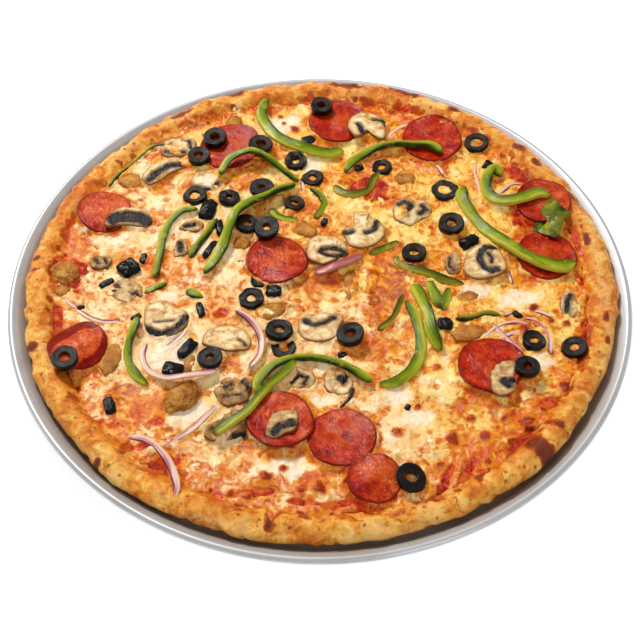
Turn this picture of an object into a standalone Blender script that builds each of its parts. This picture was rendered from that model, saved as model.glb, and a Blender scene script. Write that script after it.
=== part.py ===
"""A large round pizza on its shallow aluminium pan.

The dough is one piece with a puffed rim, the tomato sauce lies in its hollow and the melted
cheese lies on the sauce. Pepperoni, mushroom slices, olive rings, strips of green pepper and
red onion and lumps of sausage lie on the cheese, each resting on whatever is under it.
The smallest pieces of topping have sunk into the cheese and are one solid with it.

Lengths in the tables are millimetres. Z is up, and the origin is the middle of the pan's foot.
"""

import math
import random

import bmesh
import bpy
import numpy as np
from mathutils import Vector
from mathutils.bvhtree import BVHTree

MM = 0.001
GAP = 0.4
SEED = 16

# The pan: a flat floor, a side that curves up, and a rolled bead round the edge.
PAN_RADIUS = 203.0
PAN_SHEET = 1.2
PAN_FLOOR_RADIUS = 178.0
BEAD_RADIUS = 2.5
BEAD_HEIGHT = 11.8
PAN_SIDE = [(187.0, 1.4), (192.5, 5.0), (195.8, 9.6)]
PAN_SEGMENTS = 60

# The pizza sits a little behind the pan's middle.
PIZZA_CENTRE = (0.5, 2.0)
PIZZA_SEGMENTS = 72
DOUGH_FOOT = PAN_SHEET + GAP
DOUGH_FLOOR = 11.2
CRUST_PROFILE = [
    (174.0, DOUGH_FOOT),
    (184.0, 3.8),
    (187.8, 8.6),
    (190.0, 13.6),
    (187.4, 18.0),
    (182.6, 20.4),
    (178.2, 18.8),
    (169.5, DOUGH_FLOOR),
]
# Unevenness of the rim: waves round the edge, as (waves, size, phase in degrees).
CRUST_OUT_WAVES = [(2, 1.2, 0), (5, 0.5, 40), (9, 0.45, 130), (14, 0.3, 75)]
CRUST_UP_WAVES = [(3, 0.9, 200), (7, 0.6, 15), (11, 0.5, 280)]

SAUCE_FOOT = DOUGH_FLOOR + GAP
SAUCE_TOP = 13.2
SAUCE_PROFILE = [(168.7, SAUCE_FOOT), (173.3, 16.2), (172.1, 16.7), (166.6, SAUCE_TOP)]

CHEESE_FOOT = SAUCE_TOP + GAP
CHEESE_TOP = 16.0
CHEESE_FOOT_RADIUS = 165.5
CHEESE_RADIUS = 170.4
CHEESE_RINGS = 10
CHEESE_EDGE_WAVES = [(4, 1.1, 20), (9, 1.0, 160), (17, 0.9, 250), (23, 0.7, 90)]
CHEESE_BUMP = 0.7
CHEESE_WAVES = [(0.060, 0.021, 0.5), (-0.034, 0.074, 2.1), (0.112, -0.083, 4.0), (0.047, 0.131, 1.2)]

# Toppings. Places are x and y over the pan. Turn is degrees, anticlockwise from above.
PEPPERONI_THICK = 2.2
PEPPERONI_SEGMENTS = 18
PEPPERONI = {
    "pepperoni_front": (13, -120, 21.8),
    "pepperoni_front_left": (-24, -109, 21.0),
    "pepperoni_right_front": (107, -66, 22.0),
    "pepperoni_left": (-153, -51, 19.5),
    "pepperoni_left_back": (-146, 65, 18.8),
    "pepperoni_back_left": (-63, 126, 21.5),
    "pepperoni_back": (13, 152, 21.5),
    "pepperoni_back_right": (79, 134, 21.8),
    "pepperoni_right_back": (152, 73, 19.5),
    "pepperoni_right": (150, 25, 20.0),
    "pepperoni_middle": (-28, 20, 20.5),
    "pepperoni_front_edge": (32, -151, 16.5),
}

# Whole olive rings: x, y, radius, hole radius, height, lean in degrees and the way it leans.
OLIVE_SEGMENTS = 11
OLIVES = {
    "olive_back": (1, 163, 8.0, 3.0, 6.5, 0, 0),
    "olive_back_left": (-74, 131, 8.6, 3.3, 5.5, 0, 0),
    "olive_left_back": (-84.5, 114, 7.9, 3.4, 5.0, 6, 90),
    "olive_pepper_back": (-41.5, 123.5, 8.0, 3.6, 4.5, 0, 0),
    "olive_back_right": (110, 130, 8.1, 4.3, 3.4, 0, 0),
    "olive_loop_left": (-40, 87, 8.3, 2.0, 5.0, 0, 0),
    "olive_middle_back": (-49, 52, 8.2, 3.0, 5.5, 10, 200),
    "olive_middle": (-35.5, 42, 8.7, 2.6, 6.0, 16, 30),
    "olive_middle_front": (-26, -40, 8.5, 3.4, 6.5, 8, 240),
    "olive_middle_right": (19, -45, 8.5, 3.0, 5.0, 12, 20),
    "olive_onion": (-69, -61, 8.0, 2.4, 7.0, 0, 0),
    "olive_left": (-158.5, -66, 8.5, 3.5, 5.5, 0, 0),
    "olive_right_middle": (62, 26.5, 8.2, 2.6, 4.5, 6, 270),
    "olive_right_back": (88, 52, 8.4, 3.4, 5.5, 14, 60),
    "olive_right": (160, -52, 8.1, 3.5, 4.0, 0, 0),
    "olive_right_front": (128.5, -71, 8.2, 3.4, 4.5, 8, 250),
    "olive_front": (53.5, -151, 9.0, 3.4, 6.0, 0, 0),
}

# Pepper strips: width, thickness and the points that the middle of the strip passes through.
STRIP_STATION = 8.0
# Cross-sections of a strip, as shares of its width and thickness.
SECTION = [(-0.5, 0.25), (-0.28, 0.0), (0.28, 0.0), (0.5, 0.25), (0.3, 1.0), (-0.3, 1.0)]
SUNK_SECTION = [(-0.5, 0.0), (0.5, 0.0), (0.32, 1.0), (-0.32, 1.0)]
PEPPERS = {
    "pepper_back": (7.6, 4.4, [(-38, 173), (-42, 160), (-39, 149), (-31, 137), (-18, 126), (-3, 120),
                              (8, 120), (16, 125)]),
    "pepper_back_right": (6.6, 4.2, [(17, 103), (22, 112), (30, 119), (40, 125), (52, 127), (66, 126),
                                     (78, 125), (85, 118)]),
    "pepper_right_long": (8.2, 4.6, [(98, 87), (97, 75), (102, 63), (110, 49), (122, 34), (136, 21),
                                     (150, 14), (160, 13), (168, 17)]),
    "pepper_right_hook": (7.6, 4.2, [(125, 97), (121, 105), (116, 97), (114, 86), (118, 75), (127, 71),
                                     (138, 73), (148, 77), (157, 77)]),
    "pepper_left": (5.4, 3.6, [(-83, 66), (-93, 65), (-101, 56), (-105, 43), (-106, 29), (-107, 16),
                               (-108, 7)]),
    "pepper_arch": (5.4, 3.6, [(-69, 96), (-63, 108), (-53, 113), (-43, 113), (-33, 109), (-23, 101),
                               (-15, 93)]),
    "pepper_loop": (7.0, 4.0, [(-17, 88), (-27, 82), (-36, 75), (-47, 68), (-56, 58), (-60, 48),
                               (-64, 35), (-69, 22), (-76, 10)]),
    "pepper_left_front": (5.8, 3.8, [(-116, -30), (-119, -41), (-121, -53), (-119, -65), (-113, -75),
                                     (-107, -80)]),
    "pepper_wave": (6.2, 4.2, [(-37, -87), (-39, -80), (-34, -71), (-24, -63), (-10, -60), (3, -62),
                               (14, -67), (25, -74), (32, -79)]),
    "pepper_wave_right": (6.8, 4.2, [(37, -80), (46, -79), (56, -71), (62, -60), (64, -48), (63, -36),
                                     (60, -24), (56, -14)]),
    "pepper_slant": (5.0, 3.8, [(-15, -66), (-23, -75), (-31, -85), (-38, -96), (-45, -106),
                                (-55, -114), (-64, -121)]),
    "pepper_bunch": (8.0, 4.4, [(61, 1), (65, -12), (69, -28), (71, -42), (76, -55)]),
}

# Onion strips, given as the pepper strips are.
ONIONS = {
    "onion_front_left": (4.8, 2.2, [(-115, -119), (-107, -120), (-99, -125), (-92, -134), (-87, -145),
                                    (-84, -156), (-85, -164)]),
    "onion_ring_left": (4.6, 2.2, [(-110, -47), (-112, -56), (-109, -66), (-103, -73), (-94, -78),
                                   (-83, -78), (-73, -75), (-64, -71)]),
    "onion_arc": (4.4, 2.2, [(-54, -24), (-46, -30), (-40, -38), (-37, -48), (-38, -60), (-44, -69)]),
    "onion_flat": (6.0, 2.4, [(-4, 8), (8, 11), (19, 18), (28, 27)]),
}

# Mushroom slices: x, y, width over the cap, length from cap to stem, turn of the cap's top from +Y.
MUSHROOM_THICK = 4.0
MUSHROOMS = {
    "mushroom_back": (34, 147, 29, 29, 24),
    "mushroom_middle": (5, 29, 27, 27, 10),
    "mushroom_stem_up": (30, 49, 29, 36, 188),
    "mushroom_left_back": (-108, 103, 34, 18, 33),
    "mushroom_dark_gills": (-128, 58, 32, 19, -5),
    "mushroom_onion": (-99, -28, 32, 30, 5),
    "mushroom_pale": (-57, -44, 33, 22, -8),
    "mushroom_middle_front": (0, -33, 31, 25, 184),
    "mushroom_right": (109, 18, 34, 33, 110),
}

# Sausage lumps: x, y, length, width, height, turn.
SAUSAGES = {
    "sausage_left": (-167, 11, 21, 20, 10, 0),
    "sausage_front_left": (-85, -89, 29, 18, 11, 45),
}

# Pieces that have sunk into the cheese. Their numbers are those of the tables above.
SUNK_DEPTH = 1.6
SUNK_REACH = 167.8
SUNK_OLIVES = [
    (-17, 113, 7.5, 2.8, 5.5), (-85.5, 80, 7.6, 3.2, 5.0), (-62, 78, 7.2, 2.0, 6.0),
    (-17.5, 73, 6.8, 2.6, 5.0), (-5, 97, 7.0, 2.6, 4.6), (-39, 6, 6.4, 2.6, 4.0),
    (-44.5, -11, 8.0, 3.0, 5.0), (86, 86, 8.8, 4.2, 4.0), (135.5, -45, 7.5, 2.8, 4.6),
    (-23, -51, 7.8, 3.0, 4.0), (43, 108, 6.6, 2.8, 4.2),
]
SUNK_LUMPS = [
    # dark pieces of olive: x, y, length, width, height, turn
    (-76, 67, 20, 12, 7, 75), (-30, -4, 12, 11, 6, 0), (-84, -52, 18, 8, 7, 54),
    (-92, -68, 15, 11, 6, -15), (-129, -96, 14, 8, 6, 105), (-126, 15, 15, 14, 7, 40),
    (-139.5, 3, 12, 5.5, 4, 35), (99.5, 38, 16, 9, 7, 30), (117, 110, 9, 7, 5, 60),
    (-77, -20, 14, 5.5, 5, 105), (-49, 110, 14, 5.5, 5, 25), (-67.5, 51, 16, 6, 5, 100),
    (-73, 32, 18, 6, 5, 62), (-8, 135, 11, 9, 4, 20), (80, -31, 11, 10, 5, 0),
    # sausage
    (34, -139, 18, 12, 6, -10), (-31, -20, 27, 14, 6, 15), (-132, -59, 26, 15, 6, 80),
    (-130, 95, 20, 14, 6, 10), (-61, 152, 16, 14, 6, 100), (-81, -63, 16, 8, 5, 80),
    (-52, 38, 13, 11, 6, 0), (95, -38, 24, 13, 5, 15), (100, -9, 20, 17, 5, 30),
    (-10, 50, 20, 13, 5, -25), (59, 97, 15, 14, 5, 0), (20, 3, 28, 11, 5, 95),
    # mushroom
    (-12, -75, 19, 18, 6, 0), (-53, -86, 23, 21, 7, 30), (-52, -114, 32, 21, 9, 20),
    (-127, -4, 20, 12, 5, 110), (-145, 21, 14, 12, 4, 130), (-92.5, 32, 13, 8, 5, 110),
    (-87, 52, 15, 8, 4, 20), (161, -17, 19, 10, 4, 75), (88, 19, 20, 9, 4, 100),
]
SUNK_SLICES = [
    (-100, 126, 26, 19, -20), (-78, 93, 22, 17, -40), (62, 66, 28, 24, 140), (11, -77, 21, 24, 60),
    (110, -79, 21, 25, 100), (-20, -113, 21, 22, 20), (-32, 34, 24, 14, 200),
]
SUNK_STRIPS = [
    # pepper
    (12.0, 4.0, [(152, 66), (151, 56), (148, 46), (145, 40)]), (4.6, 4.0, [(-114, -6), (-107, -1), (-100, 3)]),
    (5.4, 4.0, [(-7, 88), (0, 82), (3, 74), (0, 66), (-4, 61)]),
    (5.4, 4.0, [(-34, 68), (-29, 62), (-22, 59), (-14, 58)]),
    (5.6, 4.2, [(-70, 60), (-76, 47), (-82, 35), (-86, 25)]), (8.5, 4.0, [(-87, -3), (-81, -6), (-76, -9)]),
    (7.0, 4.4, [(71, 5), (74, -6), (77, -17)]), (7.6, 4.0, [(84, -1), (82, -10), (79, -19)]),
    (4.8, 3.6, [(87, -27), (97, -26), (107, -22), (116, -24)]),
    (4.4, 3.6, [(54, -7), (50, -19), (45, -29), (37, -36)]), (4.6, 3.4, [(53, 39), (42, 33), (33, 29)]),
    (6.0, 3.6, [(49, 26), (57, 17), (72, 11), (84, 5), (94, 2)]),
    (5.6, 4.0, [(9, 91), (15, 84), (24, 82), (33, 87), (37, 97), (42, 104)]),
    # onion
    (2.8, 3.0, [(46, 129), (49, 139), (55, 146), (64, 150), (73, 148)]),
    (3.0, 3.0, [(109, 113), (108, 101), (110, 89), (112, 80)]),
    (3.2, 3.0, [(121, 81), (128, 88), (134, 92), (139, 92)]),
    (2.6, 3.0, [(121, 27), (123, 16), (126, 3)]), (3.8, 3.4, [(113, -48), (107, -56), (102, -66), (101, -75), (103, -87)]),
    (3.0, 3.0, [(131, -26), (140, -29), (145, -38), (146, -47), (145, -55)]),
    (3.8, 3.0, [(111, -31), (116, -39), (122, -47), (128, -54)]),
    (4.2, 3.0, [(-62, -92), (-69, -102), (-77, -112), (-87, -119), (-95, -122)]),
    (2.8, 2.8, [(-165, -8), (-162, -14), (-156, -19)]), (3.0, 3.0, [(-84, -29), (-87, -39), (-94, -47), (-101, -51)]),
]


def food(name, colour, roughness, metallic=0.0):
    """A plain material of that colour."""
    made = bpy.data.materials.new(name)
    made.use_nodes = True
    shader = made.node_tree.nodes["Principled BSDF"]
    shader.inputs["Base Color"].default_value = (*colour, 1.0)
    shader.inputs["Roughness"].default_value = roughness
    shader.inputs["Metallic"].default_value = metallic
    return made


def add_piece(name, shape, finish):
    """Puts a bmesh in the scene as a named, smooth object, and frees the bmesh."""
    bmesh.ops.recalc_face_normals(shape, faces=shape.faces)
    mesh = bpy.data.meshes.new(name)
    shape.to_mesh(mesh)
    shape.free()
    mesh.materials.append(finish)
    mesh.shade_smooth()
    mesh.set_sharp_from_angle(angle=math.radians(40))
    piece = bpy.data.objects.new(name, mesh)
    bpy.context.scene.collection.objects.link(piece)
    return piece


def waves(table, degrees):
    """The sum of some waves round a circle, at that angle."""
    return sum(size * math.sin(math.radians(count * degrees + phase)) for count, size, phase in table)


def turned(profile, segments, centre=(0.0, 0.0)):
    """A solid turned about the Z axis from a profile of (radius, height) that starts and ends at the axis."""
    shape = bmesh.new()
    line = [shape.verts.new((radius * MM, 0, height * MM)) for radius, height in profile]
    edges = [shape.edges.new(pair) for pair in zip(line, line[1:])]
    bmesh.ops.spin(shape, geom=line + edges, axis=(0, 0, 1), cent=(0, 0, 0), dvec=(0, 0, 0),
                   angle=math.tau, steps=segments, use_merge=True, use_duplicate=False)
    bmesh.ops.remove_doubles(shape, verts=shape.verts, dist=0.01 * MM)
    bmesh.ops.dissolve_limit(shape, angle_limit=math.radians(0.1), verts=shape.verts,
                             edges=[edge for edge in shape.edges if min(v.co.xy.length for v in edge.verts) < MM])
    bmesh.ops.translate(shape, verts=shape.verts, vec=(centre[0] * MM, centre[1] * MM, 0))
    return shape


def pan():
    """The pan, with its bead as part of the turned outline."""
    bead_x = PAN_RADIUS - BEAD_RADIUS
    bead = [
        (bead_x + BEAD_RADIUS * math.cos(math.radians(a)), BEAD_HEIGHT + BEAD_RADIUS * math.sin(math.radians(a)))
        for a in range(-130, 171, 60)
    ]
    inner = [(radius - 0.7 * PAN_SHEET, height + 0.8 * PAN_SHEET) for radius, height in reversed(PAN_SIDE)]
    return turned(
        [(0, 0), (PAN_FLOOR_RADIUS, 0), *PAN_SIDE, *bead, *inner, (PAN_FLOOR_RADIUS, PAN_SHEET), (0, PAN_SHEET)],
        PAN_SEGMENTS,
    )


def crust():
    """The dough: a flat base with a rim that swells and sinks round the edge."""
    shape = turned([(0, DOUGH_FOOT), *CRUST_PROFILE, (0, DOUGH_FLOOR)], PIZZA_SEGMENTS)
    outer = CRUST_PROFILE[1][0] * MM
    for vert in shape.verts:
        reach = vert.co.xy.length
        if reach < outer - 8 * MM or vert.co.z < DOUGH_FOOT * MM + 0.1 * MM:
            continue
        degrees = math.degrees(math.atan2(vert.co.y, vert.co.x))
        height = vert.co.z / MM
        if reach > outer - MM:
            vert.co.xy *= 1 + waves(CRUST_OUT_WAVES, degrees) * MM / reach
        if height > 15:
            vert.co.z += waves(CRUST_UP_WAVES, degrees) * MM
    bmesh.ops.translate(shape, verts=shape.verts, vec=(PIZZA_CENTRE[0] * MM, PIZZA_CENTRE[1] * MM, 0))
    return shape


def disc(rings):
    """A flat disc of radius 1, cut into even triangles: ring number n has 6 n points."""
    shape = bmesh.new()
    bmesh.ops.create_circle(shape, segments=6, radius=1, cap_ends=True, cap_tris=True)
    bmesh.ops.subdivide_edges(shape, edges=shape.edges, cuts=rings - 1, use_grid_fill=True)
    bmesh.ops.triangulate(shape, faces=shape.faces)
    first = max(shape.verts, key=lambda vert: vert.co.length).co
    start = math.atan2(first.y, first.x) + math.radians(30)
    sides = [Vector((math.cos(start + k * math.pi / 3), math.sin(start + k * math.pi / 3), 0)) for k in range(6)]
    reach = max(side.dot(vert.co) for side in sides for vert in shape.verts)
    for vert in shape.verts:
        length = vert.co.length
        if length > 1e-6:
            vert.co *= max(side.dot(vert.co) for side in sides) / (reach * length)
    return shape


def cheese_height(x, y):
    """How far the cheese stands above its level there, from some long waves and their sharp crests."""
    total = sum(math.sin(a * x + b * y + c) for a, b, c in CHEESE_WAVES)
    return CHEESE_BUMP * (total / 2.2 + 0.5 * math.sin(0.31 * x + 1.3) * math.sin(0.27 * y + 0.4))


def cheese():
    """The melted cheese, with an uneven edge, a bumpy top and a flat foot."""
    shape = disc(CHEESE_RINGS)
    for vert in shape.verts:
        share = vert.co.length
        degrees = math.degrees(math.atan2(vert.co.y, vert.co.x))
        retreat = (3.4 + waves(CHEESE_EDGE_WAVES, degrees)) * share**3
        vert.co *= CHEESE_RADIUS - retreat
        vert.co.z = CHEESE_TOP + cheese_height(vert.co.x, vert.co.y) * (1 - 0.5 * share)
        vert.co *= MM
    edge = [e for e in shape.edges if e.is_boundary]
    down = bmesh.ops.extrude_edge_only(shape, edges=edge)["geom"]
    for vert in (item for item in down if isinstance(item, bmesh.types.BMVert)):
        vert.co.xy *= CHEESE_FOOT_RADIUS / CHEESE_RADIUS
        vert.co.z = CHEESE_FOOT * MM
    bmesh.ops.holes_fill(shape, edges=[e for e in shape.edges if e.is_boundary], sides=0)
    bmesh.ops.translate(shape, verts=shape.verts, vec=(PIZZA_CENTRE[0] * MM, PIZZA_CENTRE[1] * MM, 0))
    return shape


def pepperoni(radius):
    """A round slice whose edge has curled up a little."""
    shape = bmesh.new()
    bmesh.ops.create_circle(shape, segments=PEPPERONI_SEGMENTS, radius=radius * MM, cap_ends=True)
    inner = bmesh.ops.inset_region(shape, faces=shape.faces[:], thickness=0.34 * radius * MM)["faces"]
    bmesh.ops.triangulate(shape, faces=inner)
    flat = shape.faces[:]
    under = bmesh.ops.extrude_face_region(shape, geom=flat)["geom"]
    for vert in (item for item in under if isinstance(item, bmesh.types.BMVert)):
        vert.co.z += PEPPERONI_THICK * MM
    for vert in shape.verts:
        share = vert.co.xy.length / (radius * MM)
        turn = math.atan2(vert.co.y, vert.co.x)
        vert.co.z += (share > 0.9) * (0.9 + 0.6 * math.cos(2 * turn + radius)) * MM
    return shape


def ring(radius, hole, height, lean=0.0, way=0.0, segments=OLIVE_SEGMENTS, round_foot=0.8):
    """A ring cut from an olive: flat cut faces, a rounded outside and a straight hole."""
    rise = height / 2
    profile = [(hole, -rise), (radius - round_foot, -rise), (radius, 0), (radius - 0.8, rise), (hole, rise)]
    shape = bmesh.new()
    line = [shape.verts.new((x * MM, 0, z * MM)) for x, z in profile]
    edges = [shape.edges.new(pair) for pair in zip(line, [*line[1:], line[0]])]
    bmesh.ops.spin(shape, geom=line + edges, axis=(0, 0, 1), cent=(0, 0, 0), dvec=(0, 0, 0),
                   angle=math.tau, steps=segments, use_merge=True, use_duplicate=False)
    bmesh.ops.remove_doubles(shape, verts=shape.verts, dist=0.01 * MM)
    tilt(shape, lean, way)
    return shape


def tilt(shape, lean, way):
    """Leans a shape by that many degrees, its high side towards that direction."""
    axis = Vector((math.sin(math.radians(way)), -math.cos(math.radians(way)), 0))
    turn = Vector((0, 0, 1)).rotation_difference(
        Vector((0, 0, 1)) + axis.cross(Vector((0, 0, 1))) * math.tan(math.radians(lean))
    )
    bmesh.ops.rotate(shape, verts=shape.verts, cent=(0, 0, 0), matrix=turn.to_matrix())


def slice_outline(width, length):
    """Half of a mushroom slice's outline, from the top of the cap down to the stem's cut end."""
    half, stem = width / 2, width * 0.13
    cap = 0.62 * length
    dome = [(half * math.sin(a), (length / 2 - cap) + cap * math.cos(a)) for a in np.radians([0, 25, 50, 72, 90])]
    under = [(half * 0.86, length / 2 - 1.22 * cap), (stem * 1.3, length / 2 - 1.02 * cap)]
    return [*dome, *under, (stem, -length / 2 + 0.8), (stem * 0.6, -length / 2)]


def mushroom(width, length, turn, thick=MUSHROOM_THICK):
    """A slice cut through a mushroom from cap to stem, lying flat."""
    right = slice_outline(width, length)
    left = [(-x, y) for x, y in reversed(right) if x > 0]
    shape = bmesh.new()
    face = shape.faces.new([shape.verts.new((x * MM, y * MM, 0)) for x, y in right + left])
    top = bmesh.ops.extrude_face_region(shape, geom=[face])["geom"]
    bmesh.ops.translate(shape, verts=[v for v in top if isinstance(v, bmesh.types.BMVert)], vec=(0, 0, thick * MM))
    bmesh.ops.triangulate(shape, faces=shape.faces)
    spin_flat(shape, turn)
    return shape


def spin_flat(shape, degrees):
    """Turns a shape about the Z axis."""
    cosine, sine = math.cos(math.radians(degrees)), math.sin(math.radians(degrees))
    for vert in shape.verts:
        x, y = vert.co.xy
        vert.co.xy = (cosine * x - sine * y, sine * x + cosine * y)


def lump(length, width, height, turn, draw, parts=1):
    """A rough lump with a flattened foot."""
    shape = bmesh.new()
    bmesh.ops.create_icosphere(shape, subdivisions=parts, radius=1)
    for vert in shape.verts:
        if vert.co.z < 0:
            vert.co.xy = vert.co.xy.normalized() * min(1, 4 * vert.co.xy.length)
        vert.co *= 1 + draw.uniform(-0.12, 0.1)
        vert.co.z = max(vert.co.z, -0.62)
        vert.co = (vert.co.x * length * MM / 2, vert.co.y * width * MM / 2, vert.co.z * height * MM / 2)
    spin_flat(shape, turn)
    return shape


def stations(points, step):
    """Evenly spaced points on a smooth curve through the given ones."""
    ends = [tuple(2 * a - b for a, b in zip(points[0], points[1]))]
    ends.append(tuple(2 * a - b for a, b in zip(points[-1], points[-2])))
    keys = [Vector(p) for p in [ends[0], *points, ends[1]]]
    fine = []
    for a, b, c, d in zip(keys, keys[1:], keys[2:], keys[3:]):
        for t in np.linspace(0, 1, 12, endpoint=False):
            fine.append(0.5 * (2 * b + (c - a) * t + (2 * a - 5 * b + 4 * c - d) * t**2 + (3 * b - a - 3 * c + d) * t**3))
    fine.append(keys[-2])
    gone = np.cumsum([0, *[(b - a).length for a, b in zip(fine, fine[1:])]])
    places = np.linspace(0, gone[-1], max(3, round(gone[-1] / step) + 1))
    return [(float(np.interp(p, gone, [f.x for f in fine])), float(np.interp(p, gone, [f.y for f in fine])))
            for p in places]


def strip(width, thick, places, heights, section=SECTION):
    """A strip that follows those places, its foot at those heights, pinched at both ends."""
    shape = bmesh.new()
    rows = []
    for number, ((x, y), z) in enumerate(zip(places, heights)):
        before, after = places[max(number - 1, 0)], places[min(number + 1, len(places) - 1)]
        along = Vector((after[0] - before[0], after[1] - before[1])).normalized()
        end = number in (0, len(places) - 1)
        wide, tall = (0.62 * width, 0.8 * thick) if end else (width, thick)
        rows.append([
            shape.verts.new(((x - along.y * u * wide) * MM, (y + along.x * u * wide) * MM, (z + v * tall) * MM))
            for u, v in section
        ])
    for row, following in zip(rows, rows[1:]):
        for k in range(len(section)):
            near = (k + 1) % len(section)
            shape.faces.new((row[k], row[near], following[near], following[k]))
    shape.faces.new(rows[0])
    shape.faces.new(list(reversed(rows[-1])))
    bmesh.ops.triangulate(shape, faces=shape.faces)
    return shape


class Pile:
    """How high the food stands at each place over the pan, so that a piece can rest on what is there."""

    STEP = 1.5
    REACH = 200.0
    STEEPEST = 0.36

    def __init__(self):
        count = int(2 * self.REACH / self.STEP) + 1
        self.axis = np.linspace(-self.REACH, self.REACH, count)
        self.top = np.zeros((count, count))

    def cells(self, shape, direction):
        """Rows of (column, row, x, y, z): where upright lines through the grid first meet the shape."""
        tree = BVHTree.FromBMesh(shape)
        xs = [v.co.x / MM for v in shape.verts]
        ys = [v.co.y / MM for v in shape.verts]
        columns = np.nonzero((self.axis >= min(xs)) & (self.axis <= max(xs)))[0]
        rows = np.nonzero((self.axis >= min(ys)) & (self.axis <= max(ys)))[0]
        found = []
        for i in columns:
            for j in rows:
                x, y = self.axis[i], self.axis[j]
                hit = tree.ray_cast(Vector((x * MM, y * MM, -direction)), Vector((0, 0, direction)))[0]
                if hit is not None:
                    found.append((i, j, x, y, hit.z / MM))
        return np.array(found)

    def add(self, shape):
        """Records the top of a shape that is in place."""
        found = self.cells(shape, -1)
        i, j = found[:, 0].astype(int), found[:, 1].astype(int)
        np.maximum.at(self.top, (i, j), found[:, 4])

    def spread(self):
        """The pile with each cell raised to its highest neighbour, so that nothing slips between cells."""
        padded = np.pad(self.top, 1)
        size = len(self.axis)
        return np.max([padded[a:a + size, b:b + size] for a in range(3) for b in range(3)], axis=0)

    def under_strip(self, places, width):
        """Heights at which a soft strip lies: those of the pile under each place, eased along the strip."""
        high = self.spread()
        x, y = np.meshgrid(self.axis, self.axis, indexing="ij")
        raw = [high[(x - px) ** 2 + (y - py) ** 2 <= (0.5 * width) ** 2].max() for px, py in places]
        wide = [max(raw[max(k - 1, 0):k + 2]) for k in range(len(raw))]
        return [sum(wide[max(k - 1, 0):k + 2]) / len(wide[max(k - 1, 0):k + 2]) + GAP for k in range(len(raw))]

    def rest(self, shape, may_lean=True):
        """Drops a shape on the pile, leaning it so that its middle comes as low as it can, and records it."""
        found = self.cells(shape, 1)
        high = self.spread()
        x, y = found[:, 2] - found[:, 2].mean(), found[:, 3] - found[:, 3].mean()
        middle = (found[:, 2].mean(), found[:, 3].mean())
        need = high[found[:, 0].astype(int), found[:, 1].astype(int)] - found[:, 4]
        slope, span = (0.0, 0.0), self.STEEPEST if may_lean else 0.0
        while span > 0.01:
            tries = [(a, b) for a in slope[0] + span * np.linspace(-1, 1, 9) for b in slope[1] + span * np.linspace(-1, 1, 9)
                     if math.hypot(a, b) <= self.STEEPEST]
            slope = min(tries, key=lambda s: (need - s[0] * x - s[1] * y).max() + 0.5 * math.hypot(*s))
            span /= 3
        lift = (need - slope[0] * x - slope[1] * y).max() + GAP
        for vert in shape.verts:
            vert.co.z += (lift + slope[0] * (vert.co.x / MM - middle[0]) + slope[1] * (vert.co.y / MM - middle[1])) * MM
        self.add(shape)
        return shape


def moved(shape, x, y, z=0.0):
    """The shape, carried to that place."""
    bmesh.ops.translate(shape, verts=shape.verts, vec=(x * MM, y * MM, z * MM))
    return shape


def sunk_pieces(draw, finish):
    """The small toppings, standing in the cheese, in a collection of their own."""
    foot = CHEESE_TOP - SUNK_DEPTH
    shapes = [moved(ring(radius, hole, height, segments=8, round_foot=0), x, y, foot + height / 2)
              for x, y, radius, hole, height in SUNK_OLIVES]
    shapes += [moved(lump(length, width, height, turn, draw), x, y, foot + 0.31 * height + 0.6)
               for x, y, length, width, height, turn in SUNK_LUMPS]
    shapes += [moved(mushroom(width, length, turn, 4.4), x, y, foot) for x, y, width, length, turn in SUNK_SLICES]
    for width, thick, points in SUNK_STRIPS:
        places = stations(points, 2 * STRIP_STATION)
        shapes.append(strip(width, thick, places, [foot + 0.1] * len(places), SUNK_SECTION))
    group = bpy.data.collections.new("sunk_toppings")
    bpy.context.scene.collection.children.link(group)
    for number, shape in enumerate(shapes):
        for vert in shape.verts:
            away = vert.co.xy / MM - Vector(PIZZA_CENTRE)
            vert.co.xy -= away * max(0, 1 - SUNK_REACH / away.length) * MM
        piece = add_piece(f"sunk_{number}", shape, finish)
        bpy.context.scene.collection.objects.unlink(piece)
        group.objects.link(piece)
    return group


def join_group(piece, group):
    """Joins a collection's objects to the piece with one Boolean, and removes them."""
    union = piece.modifiers.new("toppings", "BOOLEAN")
    union.operation, union.operand_type, union.collection = "UNION", "COLLECTION", group
    union.solver = "MANIFOLD"
    graph = bpy.context.evaluated_depsgraph_get()
    joined = bpy.data.meshes.new_from_object(piece.evaluated_get(graph))
    piece.modifiers.clear()
    piece.data = joined
    for other in list(group.objects):
        bpy.data.objects.remove(other)
    bpy.data.collections.remove(group)


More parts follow.
